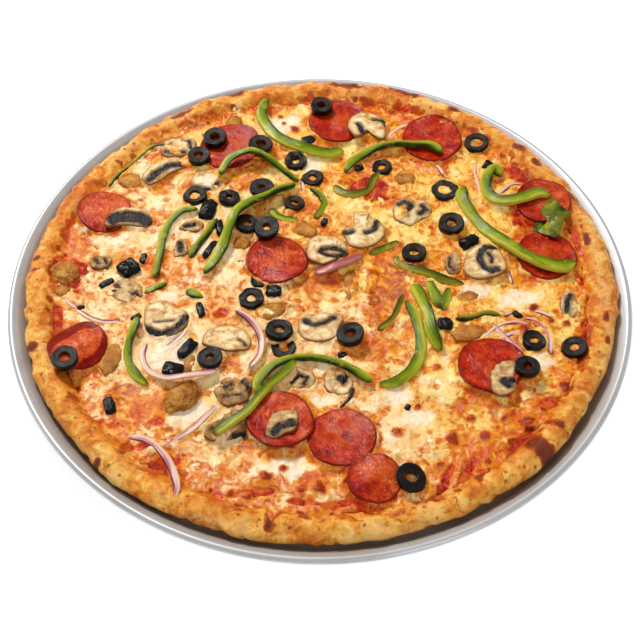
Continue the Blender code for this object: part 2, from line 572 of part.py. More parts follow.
def build():
    for old in list(bpy.data.objects):
        bpy.data.objects.remove(old)
    draw = random.Random(SEED)
    metal = food("pan_metal", (0.72, 0.73, 0.75), 0.3, 1.0)
    dough = food("crust", (0.78, 0.49, 0.21), 0.75)
    tomato = food("sauce", (0.55, 0.06, 0.02), 0.45)
    melted = food("cheese", (0.86, 0.66, 0.38), 0.5)
    salami = food("pepperoni", (0.50, 0.06, 0.03), 0.45)
    black = food("olive", (0.015, 0.013, 0.016), 0.25)
    green = food("green_pepper", (0.22, 0.34, 0.03), 0.35)
    purple = food("red_onion", (0.68, 0.40, 0.42), 0.4)
    fungus = food("mushroom", (0.66, 0.53, 0.34), 0.55)
    meat = food("sausage", (0.40, 0.22, 0.07), 0.65)

    sauce = turned([(0, SAUCE_FOOT), *SAUCE_PROFILE, (0, SAUCE_TOP)], PIZZA_SEGMENTS, PIZZA_CENTRE)
    layers = [
        add_piece("pan", pan(), metal),
        add_piece("crust", crust(), dough),
        add_piece("sauce", sauce, tomato),
        add_piece("cheese", cheese(), melted),
    ]
    join_group(layers[-1], sunk_pieces(draw, melted))

    pile = Pile()
    for layer in layers:
        bare = bmesh.new()
        bare.from_mesh(layer.data)
        pile.add(bare)
        bare.free()
    for name, (x, y, radius) in PEPPERONI.items():
        add_piece(name, pile.rest(moved(pepperoni(radius), x, y)), salami)
    for name, (x, y, length, width, height, turn) in SAUSAGES.items():
        add_piece(name, pile.rest(moved(lump(length, width, height, turn, draw, 2), x, y)), meat)
    for name, (x, y, width, length, turn) in MUSHROOMS.items():
        add_piece(name, pile.rest(moved(mushroom(width, length, turn), x, y)), fungus)
    for name, (width, thick, points) in ONIONS.items():
        places = stations(points, STRIP_STATION)
        add_piece(name, pile.rest(strip(width, thick, places, pile.under_strip(places, width)), False), purple)
    for name, (x, y, radius, hole, height, lean, way) in OLIVES.items():
        add_piece(name, pile.rest(moved(ring(radius, hole, height, lean, way), x, y), not lean), black)
    for name, (width, thick, points) in PEPPERS.items():
        places = stations(points, STRIP_STATION)
        add_piece(name, pile.rest(strip(width, thick, places, pile.under_strip(places, width)), False), green)


build()
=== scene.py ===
"""A round pizza with many toppings on its shallow aluminium pan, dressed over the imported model.

Lengths in the tables are millimetres, places are x and y over the pan's middle, and turns are
degrees, anticlockwise from above. Pieces are made in millimetres and scaled to metres last.
The room is in metres.
"""

import math

import bmesh
import bpy
import numpy as np
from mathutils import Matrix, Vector, noise
from mathutils.bvhtree import BVHTree


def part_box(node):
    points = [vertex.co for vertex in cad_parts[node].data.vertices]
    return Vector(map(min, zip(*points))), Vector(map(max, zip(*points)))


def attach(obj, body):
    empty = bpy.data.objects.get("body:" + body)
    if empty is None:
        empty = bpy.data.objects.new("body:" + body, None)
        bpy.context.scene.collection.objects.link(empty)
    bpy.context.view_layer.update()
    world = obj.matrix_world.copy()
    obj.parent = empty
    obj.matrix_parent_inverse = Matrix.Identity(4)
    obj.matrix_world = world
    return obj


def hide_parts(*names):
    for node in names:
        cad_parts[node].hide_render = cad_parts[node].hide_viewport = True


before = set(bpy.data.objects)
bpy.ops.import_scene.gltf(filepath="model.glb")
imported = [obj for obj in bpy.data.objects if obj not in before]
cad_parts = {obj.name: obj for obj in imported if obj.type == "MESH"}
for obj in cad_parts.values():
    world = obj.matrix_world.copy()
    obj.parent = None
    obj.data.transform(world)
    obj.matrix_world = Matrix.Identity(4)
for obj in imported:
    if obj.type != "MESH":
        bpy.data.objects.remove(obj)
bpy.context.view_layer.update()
MM = 0.001

# The layers' heights over the table and their radii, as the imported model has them.
PIZZA_CENTRE = np.array([0.5, 2.0])
PAN_FLOOR = 1.2
DOUGH_FOOT = 1.6
DOUGH_FLOOR = 11.2
SAUCE_FOOT = 11.6
SAUCE_RADIUS = 174.5
CHEESE_FOOT = 13.7
CHEESE_LEVEL = 16.0
CHEESE_RADIUS = 176.0
SUNK_FOOT = 14.4

# The pan's side from the floor to its crease, outside and inside, as radius and height.
PAN_OUTSIDE = [(178.0, 0), (184, 0.35), (188.5, 1.9), (192.0, 4.8), (194.6, 8.2), (196.6, 9.8)]
PAN_INSIDE = [(196.6, 12.2), (195.0, 11.0), (192.6, 8.6), (189.6, 4.9), (185.5, 2.4), (178.0, PAN_FLOOR)]
BEAD_MIDDLE = (200.5, 11.8)

# The crust's outline as it looks, a little fuller than the solid, as radius and height.
CRUST_SECTION = [(176.0, 1.7), (184.0, 3.2), (187.8, 5.4), (190.6, 9.2), (192.6, 14.0), (190.2, 18.2),
                 (184.6, 20.5), (178.4, 18.8), (169.5, DOUGH_FLOOR)]
# How the rim wanders out and up round the pizza: waves in all, size and phase.
CRUST_OUT_WAVES = [(2, 1.2, 0), (5, 0.5, 40), (9, 0.45, 130), (14, 0.3, 75)]
CRUST_UP_WAVES = [(3, 0.9, 200), (7, 0.6, 15), (11, 0.5, 280)]

# How finely the sheets are divided, and the section that slices are spun from: share of the
# radius and share of the thickness.
CHEESE_CELLS = 312
SAUCE_CELLS = 190
DISC_PROFILE = [
    *[(share, 1.0) for share in np.linspace(0, 0.955, 22)],
    (0.98, 0.9), (0.995, 0.65), (1.0, 0.35), (0.985, 0.08), (0.95, 0.0), (0.5, 0.0), (0, 0.0),
]
PEPPERONI_THICKNESS = 2.0
STRIP_SIDES = 16
STRIP_STEP = 1.5
TONGUE_WIDTH = 3.4

# Strips of green pepper: width, thickness and the points along the middle.
PEPPERS = {
    "pepper_back": (7.6, 4.4, [(-38, 173), (-42, 160), (-39, 149), (-31, 137), (-18, 126), (-3, 120),
                              (8, 120), (16, 125)]),
    "pepper_back_right": (6.6, 4.2, [(17, 103), (22, 112), (30, 119), (40, 125), (52, 127), (66, 126),
                                     (78, 125), (85, 118)]),
    "pepper_right_long": (8.2, 4.6, [(98, 87), (97, 75), (102, 63), (110, 49), (122, 34), (136, 21),
                                     (150, 14), (160, 13), (168, 17)]),
    "pepper_right_hook": (7.6, 4.2, [(125, 97), (121, 105), (116, 97), (114, 86), (118, 75), (127, 71),
                                     (138, 73), (148, 77), (157, 77)]),
    "pepper_left": (5.4, 3.6, [(-83, 66), (-93, 65), (-101, 56), (-105, 43), (-106, 29), (-107, 16),
                               (-108, 7)]),
    "pepper_arch": (5.4, 3.6, [(-69, 96), (-63, 108), (-53, 113), (-43, 113), (-33, 109), (-23, 101),
                               (-15, 93)]),
    "pepper_loop": (7.0, 4.0, [(-17, 88), (-27, 82), (-36, 75), (-47, 68), (-56, 58), (-60, 48),
                               (-64, 35), (-69, 22), (-76, 10)]),
    "pepper_left_front": (5.8, 3.8, [(-116, -30), (-119, -41), (-121, -53), (-119, -65), (-113, -75),
                                     (-107, -80)]),
    "pepper_wave": (6.2, 4.2, [(-37, -87), (-39, -80), (-34, -71), (-24, -63), (-10, -60), (3, -62),
                               (14, -67), (25, -74), (32, -79)]),
    "pepper_wave_right": (6.8, 4.2, [(37, -80), (46, -79), (56, -71), (62, -60), (64, -48), (63, -36),
                                     (60, -24), (56, -14)]),
    "pepper_slant": (5.0, 3.8, [(-15, -66), (-23, -75), (-31, -85), (-38, -96), (-45, -106),
                                (-55, -114), (-64, -121)]),
    "pepper_bunch": (8.0, 4.4, [(61, 1), (65, -12), (69, -28), (71, -42), (76, -55)]),
}
# The same, sunk into the cheese.
SUNK_PEPPERS = [
    (12.0, 4.0, [(152, 66), (151, 56), (148, 46), (145, 40)]),
    (4.6, 4.0, [(-114, -6), (-107, -1), (-100, 3)]),
    (5.4, 4.0, [(-7, 88), (0, 82), (3, 74), (0, 66), (-4, 61)]),
    (5.4, 4.0, [(-34, 68), (-29, 62), (-22, 59), (-14, 58)]),
    (5.6, 4.2, [(-70, 60), (-76, 47), (-82, 35), (-86, 25)]), (8.5, 4.0, [(-87, -3), (-81, -6), (-76, -9)]),
    (7.0, 4.4, [(71, 5), (74, -6), (77, -17)]), (7.6, 4.0, [(84, -1), (82, -10), (79, -19)]),
    (4.8, 3.6, [(87, -27), (97, -26), (107, -22), (116, -24)]),
    (4.4, 3.6, [(54, -7), (50, -19), (45, -29), (37, -36)]), (4.6, 3.4, [(53, 39), (42, 33), (33, 29)]),
    (6.0, 3.6, [(49, 26), (57, 17), (72, 11), (84, 5), (94, 2)]),
    (5.6, 4.0, [(9, 91), (15, 84), (24, 82), (33, 87), (37, 97), (42, 104)]),
    (3.4, 3.0, [(-104, 132), (-116, 130), (-125, 121), (-132, 111), (-140, 101), (-146, 90)]),
]
# Which of them, counted from 0, have cooked to olive brown.
COOKED_PEPPERS = (8, 9, 10, 11, 12)

# Strips of red onion, given like the peppers.
ONIONS = {
    "onion_front_left": (4.8, 2.2, [(-115, -119), (-107, -120), (-99, -125), (-92, -134), (-87, -145),
                                    (-84, -156), (-85, -164)]),
    "onion_ring_left": (4.6, 2.2, [(-110, -47), (-112, -56), (-109, -66), (-103, -73), (-94, -78),
                                   (-83, -78), (-73, -75), (-64, -71)]),
    "onion_arc": (4.4, 2.2, [(-54, -24), (-46, -30), (-40, -38), (-37, -48), (-38, -60), (-44, -69)]),
    "onion_flat": (6.0, 2.4, [(-4, 8), (8, 11), (19, 18), (28, 27)]),
}
# The same, sunk into the cheese: width and points.
SUNK_ONIONS = [
    (2.8, [(46, 129), (49, 139), (55, 146), (64, 150), (73, 148)]),
    (3.0, [(109, 113), (108, 101), (110, 89), (112, 80)]),
    (3.2, [(121, 81), (128, 88), (134, 92), (139, 92)]),
    (2.6, [(121, 27), (123, 16), (126, 3)]),
    (3.8, [(113, -48), (107, -56), (102, -66), (101, -75), (103, -87)]),
    (3.0, [(131, -26), (140, -29), (145, -38), (146, -47), (145, -55)]),
    (3.8, [(111, -31), (116, -39), (122, -47), (128, -54)]),
    (4.2, [(-62, -92), (-69, -102), (-77, -112), (-87, -119), (-95, -122)]),
    (2.8, [(-165, -8), (-162, -14), (-156, -19)]), (3.0, [(-84, -29), (-87, -39), (-94, -47), (-101, -51)]),
    (4.6, [(-119, 128), (-109, 132), (-101, 136)]),
    (3.4, [(110, -47), (121, -39), (133, -37), (143, -43)]),
    (3.0, [(104, -42), (113, -33), (124, -30), (134, -32)]),
    (2.4, [(-70, -106), (-82, -116), (-94, -126), (-103, -130)]), (2.2, [(142, 42), (144, 34), (147, 27)]),
    (3.2, [(-158, -18), (-148, -26), (-138, -29), (-128, -28)]), (3.4, [(86, 100), (80, 112), (72, 122)]),
    (3.0, [(-13, 95), (-12, 90), (-12, 85)]), (2.6, [(118, -24), (129, -20), (140, -21), (150, -26)]),
]
SUNK_ONION_THICKNESS = 2.0
BURNT_ONION = (2.2, [(12, -98), (18, -90), (21, -82)])

# Hole of each whole olive ring as a share of its radius.
OLIVE_HOLES = {"olive_loop_left": 0.22, "olive_middle": 0.3, "olive_onion": 0.26, "olive_back_right": 0.52}
OLIVE_HOLE = 0.38
# Rings that have sunk into the cheese: x, y, radius, hole, height.
SUNK_OLIVES = [
    (-17, 113, 7.5, 2.8, 5.5), (-85.5, 80, 7.6, 3.2, 5.0), (-62, 78, 7.2, 2.0, 6.0),
    (-17.5, 73, 6.8, 2.6, 5.0), (-5, 97, 7.0, 2.6, 4.6), (-39, 6, 6.4, 2.6, 4.0),
    (-44.5, -11, 8.0, 3.0, 5.0), (86, 86, 8.8, 4.2, 4.0), (135.5, -45, 7.5, 2.8, 4.6),
    (-23, -51, 7.8, 3.0, 4.0), (43, 108, 6.6, 2.8, 4.2),
]
# Crumpled or side-on pieces of olive: x, y, length, width, height, turn.
OLIVE_PIECES = [
    (-76, 67, 20, 12, 7, 75), (-30, -4, 12, 11, 6, 0), (-84, -52, 18, 8, 7, 54), (-92, -68, 15, 11, 6, -15),
    (-129, -96, 14, 8, 6, 105), (-126, 15, 15, 14, 7, 40), (-139.5, 3, 12, 5.5, 4, 35),
    (99.5, 38, 16, 9, 7, 30), (117, 110, 9, 7, 5, 60), (-77, -20, 14, 5.5, 5, 105),
    (-49, 110, 14, 5.5, 5, 25), (-67.5, 51, 16, 6, 5, 100), (-73, 32, 18, 6, 5, 62),
    (-8, 135, 11, 9, 4, 20), (80, -31, 11, 10, 5, 0), (27, 108, 8, 5, 4, 20), (3, 57, 7, 5, 4, 70),
    (-118, -26, 8, 5, 4, 40), (-92, 36, 8, 5, 4, 100), (14, -56, 7, 5, 4, 10), (54, -96, 5, 4, 3, 60),
    (127, -24, 9, 5, 4, 130), (-154, -18, 6, 4, 4, 20), (-117, 24, 10, 5, 4, 80),
]

# Sausage lumps that have sunk in, given the same way. The first lies on a slice of pepperoni,
# and is raised to it.
SUNK_SAUSAGES = [
    (34, -139, 18, 12, 6, -10), (-31, -20, 27, 14, 6, 15), (-132, -59, 26, 15, 6, 80),
    (-130, 95, 20, 14, 6, 10), (-61, 152, 16, 14, 6, 100), (-81, -63, 16, 8, 5, 80),
    (-52, 38, 13, 11, 6, 0), (95, -38, 24, 13, 5, 15), (-10, 50, 20, 13, 5, -25), (59, 97, 15, 14, 5, 0),
    (20, 3, 28, 11, 5, 95), (-168, -3, 11, 9, 5, 0), (-20, 66, 14, 10, 5, 30), (58, 20, 7, 26, 4, 8),
    (96, -8, 16, 10, 4, 20), (-74, -74, 13, 9, 4, 60),
]
SAUSAGE_RAISED = 4.5
# Whole lumps: length, width, height, turn.
SAUSAGES = {"sausage_left": (21, 20, 10, 0), "sausage_front_left": (29, 18, 11, 45)}

# Mushroom slices: where each lies, its outline about that place, and the dark gills as strokes
# of a width along points.
MUSHROOMS = {
    "mushroom_back": (34, 147, [
        (-14.7, -6.4), (-13.8, 2.6), (-8.9, 9.6), (-2.7, 12.8), (4.5, 12.2), (10.7, 8.3), (14.2, 1.9),
        (12.9, -2.8), (12, -13), (9.3, -15.5), (4, -13.0), (-0.4, -7.7), (-2.7, -10.9), (-5.8, -13.7),
        (-9.8, -14.4)],
        [(3.4, [(-6.7, -1.9), (-4.9, -6.7), (-4, -10.5)]),
         (2.8, [(4.5, 5.1), (8.9, 5.1), (12.5, 2.6), (13.0, -0.6)])]),
    "mushroom_middle": (5.3, 28, [
        (-11.6, 10.8), (-7.5, 13.2), (0.8, 14.4), (8.3, 13.6), (12, 8.6), (13.3, 1.1), (12.5, -3.2),
        (7.5, -6.4), (0.8, -11.4), (-3.3, -13.6), (-9.1, -12.4), (-12.9, -8.6), (-14.2, -1.1),
        (-13.7, 6.5)],
        [(3.6, [(-4.6, -3.2), (-3.3, 0), (0.8, 1.7), (6.5, 1.7), (10.4, -0.6), (11.4, -2.8)]),
         (2.8, [(-4.2, -3.6), (0, -5.9), (5, -5.6), (8.6, -4.6)])]),
    "mushroom_stem_up": (28.6, 49, [
        (-6.0, 16.6), (3.8, 15.4), (3.4, 7.5), (9.2, 8.0), (13.4, 3.2), (15.0, -3.2), (13.4, -9.6),
        (7.6, -15), (0.8, -17.6), (-5.9, -16.6), (-10.5, -13.2), (-11.8, -7.5), (-13.9, -3.2), (-12.6, 0.6),
        (-9.2, 3.4), (-6.9, 3.6), (-5.9, 9.6)],
        [(3.4, [(2.6, -4.6), (5.9, -3.2), (8.8, 0.5), (10.0, 5.0)]),
         (3.6, [(-13.0, -2.4), (-10.5, -3.4), (-7.2, -3.0)])]),
    "mushroom_left_back": (-107.6, 104.4, [
        (-13.9, -12.6), (-15.6, -8.5), (-12.2, 0), (-6.1, 6), (0.9, 9.8), (7.8, 9.7), (12.6, 6.4),
        (14.2, 2.8), (10.4, 0.6), (4.3, -4.2), (-1.7, -9.4), (-7.8, -14.4), (-11.3, -15)],
        [(4.6, [(-10, -10.9), (-7, -6), (-1.7, -1.4), (5.2, 3), (10.9, 4.6)])]),
    "mushroom_dark_gills": (-129, 59.6, [
        (-15.6, -9.6), (-14.4, -3.4), (-11, 1.6), (-5.1, 5.2), (3.4, 6.1), (11, 5), (15.2, 0), (16, -4.7),
        (13.5, -8.6), (7.6, -9.0), (0, -8.2), (-8.5, -9.4), (-13.5, -10.9)],
        [(8.6, [(-10.3, -5.0), (-6.8, -3.2), (0, -2.1), (7.2, -2.3), (11.6, -4.1)])]),
    "mushroom_onion": (-99.2, -28, [
        (-12.8, 11.2), (-7.2, 14.6), (-2.4, 15.0), (1.6, 13.2), (7.2, 9.1), (12.8, 6.1), (15.6, 2.5),
        (14.8, -4.1), (10.4, -11.0), (2.4, -14.9), (-5.6, -14.6), (-10.4, -11.2), (-13.2, -3), (-14, 5.1)],
        [(3.8, [(-10.4, -8.9), (-6.8, -12.4), (-0.8, -13.2), (5.6, -10.5), (10.8, -5.5), (13.4, 1.3)]),
         (1.0, [(-5.6, -3.9), (0, -3.0), (5.6, -2.4)])]),
    "mushroom_pale": (-58.3, -44.4, [
        (-16, 0), (-14.2, 6), (-9.5, 9.6), (-3.2, 11.2), (4, 11.2), (9.5, 8.6), (13.8, 3), (15.4, -3),
        (13.0, -8.6), (7.9, -10.1), (1.6, -10.6), (-5.5, -8.8), (-12.2, -6.6), (-15.8, -4)],
        [(1.1, [(7.1, -1.4), (10.0, -3.5), (11.6, -6.4)])]),
    "mushroom_middle_front": (0, -33.9, [
        (-14.4, 5.1), (-10.4, 9.4), (-3.2, 11.2), (4.8, 11.4), (12.4, 10.2), (14.6, 5.6), (13.2, 0),
        (11.2, -8.2), (4.8, -12), (-4.8, -12), (-12.0, -8.6), (-14.6, -2)],
        [(3.0, [(-9.6, 5.1), (-7.2, 2.5), (-3.2, 0.7), (2.4, 1.5), (6.4, 4.4), (9.0, 6.7)]),
         (4.6, [(-8.8, 4.2), (-8.0, 3.4)]),
         (4.4, [(7.6, 5.6), (8.4, 6.0)])]),
    "mushroom_right": (107.7, 22, [
        (-13.2, -2.2), (-10.7, 6.5), (-4.1, 12.0), (1.7, 13.8), (8.3, 11.9), (11.6, 5.4), (15.1, -5.4),
        (14.3, -10.4), (9.9, -14.8), (3.3, -17.2), (-5, -17.4), (-10.7, -14.4), (-13.6, -8.7)],
        [(4.0, [(7.4, 9.3), (2.5, 9.1), (-1.2, 5.4), (-2.1, -1.1), (0, -8.0), (4.1, -11.6), (8.3, -10.6)]),
         (2.2, [(3.0, 4.0), (5.4, 0.4), (5.0, -4.0)])]),
}
# The same, sunk into the cheese: place, how far above the foot of what has sunk, lean, how brown
# it has cooked, outline and gills.
MORE_MUSHROOMS = [
    (-100, 127, 2.4, (0.05, -0.02), 0.25, [
        (-12, 4), (-6, 8.5), (4, 9), (11, 7), (13, 1), (11, -6), (4, -8.5), (-6, -8), (-12, -5)],
        [(2.2, [(-9, -4), (-3, -5.6), (5, -5.6)]), (2.0, [(7, 6), (9, -1)])]),
    (-78, 93, 2.6, (-0.06, 0.04), 0.0, [
        (-11, -4), (-10, 4), (-5, 9), (2, 10), (8, 6), (11, -1), (9, -7), (3, -9), (-3, -8)],
        [(3.4, [(-9, -5), (-4, -6), (1, -6.6)]), (2.4, [(6, -3), (8, 0)])]),
    (62, 66, 2.8, (0.03, 0.08), 0.15, [
        (-13, 1), (-10, 8), (-3, 11), (4, 8), (10, 10), (14, 3), (12, -4), (6, -7), (0, -12), (-7, -10),
        (-12, -6)],
        [(3.0, [(-8, 5), (-4, 7), (0, 4), (-3, 0)]), (3.2, [(8, 4), (10, 1), (6, -2)])]),
    (11, -77, 2.6, (0.0, 0.08), 0.2, [
        (-9, 2), (-5, 9), (2, 10), (8, 6), (10, -2), (7, -9), (0, -10), (-7, -6)],
        [(4.8, [(2, 1), (4, 0)]), (2.4, [(4, -2), (6, 4)])]),
    (110, -97, 0.6, (0.0, 0.0), 0.5, [(-8, 0), (-4, 5), (4, 5), (8, 0), (4, -5), (-4, -5)], []),
    (-33, 35, 3.6, (-0.12, 0.1), 0.1, [
        (-12, 1), (-9, 7), (-2, 9), (6, 7), (12, 1), (11, -5), (4, -8), (-5, -7), (-11, -4)],
        [(1.4, [(-8, -5), (0, -6.4), (8, -4)])]),
    (-12, -75, 2.0, (0, 0.05), 0.5, [(-9, 0), (-6, 7), (2, 8), (8, 4), (9, -3), (4, -8), (-5, -7)],
     [(2.0, [(-5, -2), (-1, 2), (4, 0), (2, -4)])]),
    (-53, -86, 3.6, (0.1, 0.0), 0.75, [
        (-10, -6), (-12, 1), (-8, 8), (-3, 10), (2, 7), (6, 11), (11, 8), (10, 0), (7, -7), (1, -9),
        (-5, -10)],
        [(1.6, [(-9, 6), (-5, 3), (-2, 5)]), (2.4, [(4, 8), (8, 5), (9, 1)]),
         (1.2, [(-6, -4), (0, -2), (5, -4)])]),
    (-54, -112, 4.6, (0.0, 0.16), 0.9, [
        (-16, -7), (-13, 1), (-6, 4), (-1, 9), (6, 10), (13, 7), (16, 0), (14, -6), (7, -9), (-2, -9),
        (-9, -11)],
        [(1.2, [(-12, -3), (-5, 0), (2, 2), (8, 5)]), (3.0, [(2, -7), (9, -6), (13, -3)]),
         (1.0, [(-8, -6), (-2, -5)])]),
    (-127, -4, 3.0, (0.0, 0.12), 0.45, [
        (-9, 0), (-7, 6), (-1, 9), (6, 7), (11, 2), (12, -5), (8, -9), (4, -4), (0, 0), (-4, 0), (-8, -4)],
        [(3.0, [(-8, -1), (-5, 3)]), (3.6, [(7, -3), (9, -7)])]),
    (-145, 21, 2.2, (0.05, 0.0), 0.5, [(-6, -4), (-7, 3), (-2, 6), (5, 5), (7, -1), (3, -6)],
     [(1.8, [(-4, 2), (-1, -2)]), (1.6, [(3, 3), (4, -2)])]),
    (-92.5, 32, 2.8, (0.0, 0.1), 0.6, [(-4, -6), (-5, 2), (-2, 7), (3, 6), (5, 0), (3, -6)],
     [(3.4, [(-1, 3), (0, -2)])]),
    (-87, 52, 2.4, (0.0, 0.1), 0.55, [(-8, -1), (-4, 4), (3, 5), (8, 2), (6, -3), (-2, -4)],
     [(2.4, [(-4, 0), (3, 1)])]),
    (161, -17, 3.0, (0.0, 0.2), 0.1, [(-5, -9), (-6, 2), (-3, 9), (2, 10), (5, 4), (5, -6), (1, -10)],
     [(3.2, [(-2, -4), (-1, 3), (1, 6)])]),
    (88, 19, 2.4, (0.0, 0.0), 0.6, [(-4, -9), (-6, 0), (-3, 8), (2, 9), (5, 3), (3, -8)],
     [(1.6, [(-2, 4), (-3, -3), (0, -6)])]),
]

# Slices that are bent, with the direction of the fold and how far the sides droop. One that droops
# more than FOLDED_DROOP is folded, and its drooping sides are painted the darker rim red, painted shade.
BENT_PEPPERONI = {"pepperoni_left": (52, 7.5), "pepperoni_front_edge": (50, 4.0),
                  "pepperoni_left_back": (20, 2.6), "pepperoni_middle": (-40, 1.8)}
FOLDED_DROOP = 5

# How much of each slice's top shows the paler, speckled pink of a painted sheen, there and elsewhere.
PINK_SHEEN = {"pepperoni_left": 1.0, "pepperoni_left_back": 0.95, "pepperoni_front_left": 0.7,
                  "pepperoni_front": 0.55,
                  "pepperoni_right_back": 0.65, "pepperoni_middle": 0.6, "pepperoni_front_edge": 0.8}
PINK_SHEEN_ELSEWHERE = 0.3

# Tongues of cheese that ran over the crust: x, y and how far.
TONGUES = [(-28, -176, 9), (146, -114, 9), (-187, 22, 7), (-187, 11, 6), (-181, -50, 9), (141, 125, 5),
           (20, 186, 6), (-60, 178, 5)]

# Places on the cheese, as ovals: x, y, length, width, turn. First, where sauce shows.
SAUCE_PATCHES = [
    (-92, 158, 30, 12, 32), (-130, 138, 14, 8, 45), (-171, 50, 30, 8, 80), (-166, 12, 29, 27, 0),
    (-170, -29, 26, 8, 100), (113, 141, 18, 9, -35), (94, 154, 14, 8, -28), (136, 104, 18, 9, -50),
    (171, 48, 18, 8, -75), (168, -50, 42, 9, -102), (35, 90, 30, 18, -20), (-5, 176, 34, 6, 0),
    (38, 172, 22, 6, -10), (62, 166, 20, 6, -18), (-8, -164, 26, 5, -6), (14, -165, 22, 5, 4),
    (38, -162, 24, 6, 10), (88, -143, 28, 5, 62), (74, -150, 26, 5, 66), (122, -121, 38, 6, 28),
    (140, -93, 12, 9, 0), (-63, -21, 11, 8, 20), (-99, -142, 34, 12, 40), (-98, -105, 9, 8, 0),
    (-118, -128, 26, 6, 20), (150, 46, 30, 18, -60), (138, 60, 22, 12, -40), (-38, -157, 26, 5, 10),
]
# Where orange oil came up.
OILY_PATCHES = [
    (44, 8, 30, 44, 10), (-114, -98, 44, 30, 20), (128, -100, 56, 30, 30), (34, -50, 16, 18, 0),
    (2, 4, 30, 16, 0), (58, 76, 22, 16, 0), (30, 108, 34, 24, 0), (-130, -118, 44, 20, -45),
    (-56, -146, 70, 18, -8), (148, 44, 40, 36, -60), (84, -138, 50, 26, 30), (156, -80, 40, 20, -70),
    (-8, 70, 20, 26, 0), (-100, 106, 46, 10, 30), (-150, 92, 40, 14, 60), (-164, 44, 24, 24, 0),
    (-110, 24, 18, 14, 0), (-95, -152, 44, 16, -30), (60, 158, 60, 14, -15), (-14, -148, 40, 12, 0),
    (-50, 166, 60, 12, 10), (-152, -60, 40, 20, -70), (0, 90, 14, 30, 0),
]
# Where clear orange oil stands.
POOLS = [(43, 2, 26, 44, 8), (39, -30, 14, 16, 0), (26, 34, 12, 12, 0), (-124, -86, 20, 11, 30),
         (-6, 20, 12, 8, 0), (98, 10, 16, 8, 20)]
# A scrap of pepper over the slice at the right: its outline about its middle.
SCRAP_MIDDLE = (157.5, 56)
SCRAP = [(2, 19), (6, 10), (10.4, 3), (6, -2.6), (4.4, -8.6), (1, -18), (-4.4, -17), (-11.6, -11.2),
         (-5.6, -4), (-8, 6), (-4, 15)]
# Mushroom slices that lie on a pepperoni: place, how brown it has cooked, outline and gills.
CARRIED_MUSHROOMS = {
    "pepperoni_front_left": (-22, -111.5, 0.3, [
        (-10.8, -5.5), (-8.3, 2.8), (-3.8, 7.4), (2.3, 9.2), (7.6, 9.0), (8.3, 3.7), (7.6, -4.6), (3, -8.3),
        (-3, -11.4), (-6.8, -12.4), (-10.2, -9.8)],
        [(5.4, [(-4.9, -8.8), (-2.9, -4.6), (0.8, -2.2), (5.3, -1.8)])]),
    "pepperoni_right_front": (112.5, -75.0, 0.35, [
        (-7.1, -2.9), (-4.7, 3.9), (0, 8.3), (5.5, 9.7), (9.4, 8.4), (8.8, 1.9), (7.6, -4.9), (8.2, -9.7),
        (5.5, -14.6), (0, -16.6), (-4.7, -15.6), (-7.1, -10.7)],
        [(5.6, [(1.6, -6.8), (3.8, -9.0)]), (4.0, [(3.5, -9.2), (6.6, -5.8)])]),
}
# Where the cheese is whitest.
WHITE_PATCHES = [
    (-92, -55, 38, 40, 0), (0, -92, 18, 14, 0), (-80, -100, 28, 22, 30), (-60, 28, 9, 14, 0),
    (-80, 39, 12, 24, 20), (130, -10, 36, 20, 0), (-98, -8, 12, 9, 0), (46, -88, 24, 14, 0),
    (100, -3, 22, 18, 0), (-140, 44, 26, 22, 0), (-30, 150, 44, 26, 20), (-60, 64, 12, 12, 0),
    (100, 60, 16, 10, 0), (140, -60, 24, 14, 0), (-20, -140, 30, 16, 0), (-5, 110, 16, 20, 0),
    (85, -60, 22, 14, 0), (20, -120, 60, 20, 0), (-84, 150, 26, 12, 30), (60, -104, 30, 16, 0),
]
# Blisters in the cheese: x, y, radius.
BLISTERS = [
    (-88, 152, 2.6), (-80, 153, 2.2), (-18, 147, 3.4), (-29, 160, 2.2), (-26, 153, 1.6), (138, -18, 3.2),
    (151, -21, 2.6), (157, -11, 2.2), (130, -35, 3.4), (157, -31, 2.6), (148, -29, 2.0), (-126, -128, 3.4),
    (-119, -131, 3.6), (-71, -158, 2.6), (-64, -156, 2.4), (-123, -109, 1.8), (-32, -147, 3.6),
    (-1, -155, 4.6), (-11, -156, 3.2), (-22, -141, 2.4), (47, -115, 3.0), (-53, -158, 3.0),
    (-43, -161, 3.4), (26, -160, 3.0), (16, -152, 2.6), (81, -120, 5.6), (100, -117, 4.2), (112, -105, 3.4),
    (126, -107, 4.8), (116, -122, 3.4), (100, -136, 2.8), (72, -138, 3.0), (148, -93, 3.6), (152, -81, 4.2),
    (157, -87, 3.0), (73, -66, 2.8), (-112, 138, 2.4), (92, -104, 2.6), (137, -98, 3.0), (60, -96, 1.8),
    (28, 168, 3.0), (52, 164, 3.0), (88, 152, 2.6), (128, 118, 3.0), (-70, 166, 3.0), (20, 174, 2.6),
    (-148, 112, 2.4), (-158, 96, 2.6), (162, 60, 3.2),
]

# Places on the crust, as ovals given the same way. First, where it toasted brown.
TOASTED = [
    (-187, 22, 6, 4, 0), (-187, 11, 5, 4, 0), (141, 125, 10, 7, -45), (151, 113, 10, 6, -50),
    (183, -28, 8, 5, 80), (182, -46, 7, 4, 80), (-181, -50, 12, 6, 10), (-28, -176, 17, 6.5, 80),
    (146, -114, 18, 7, -42), (134, -130, 32, 13, -45), (-134, -139, 7, 4, 45), (60, 182, 22, 8, -18),
    (20, 188, 24, 8, -5), (-60, 180, 18, 7, 20), (96, 163, 14, 7, -30), (170, 82, 14, 6, -62),
    (-100, 158, 18, 6, 30), (178, 40, 12, 5, -78), (-166, 94, 20, 5, 60),
]
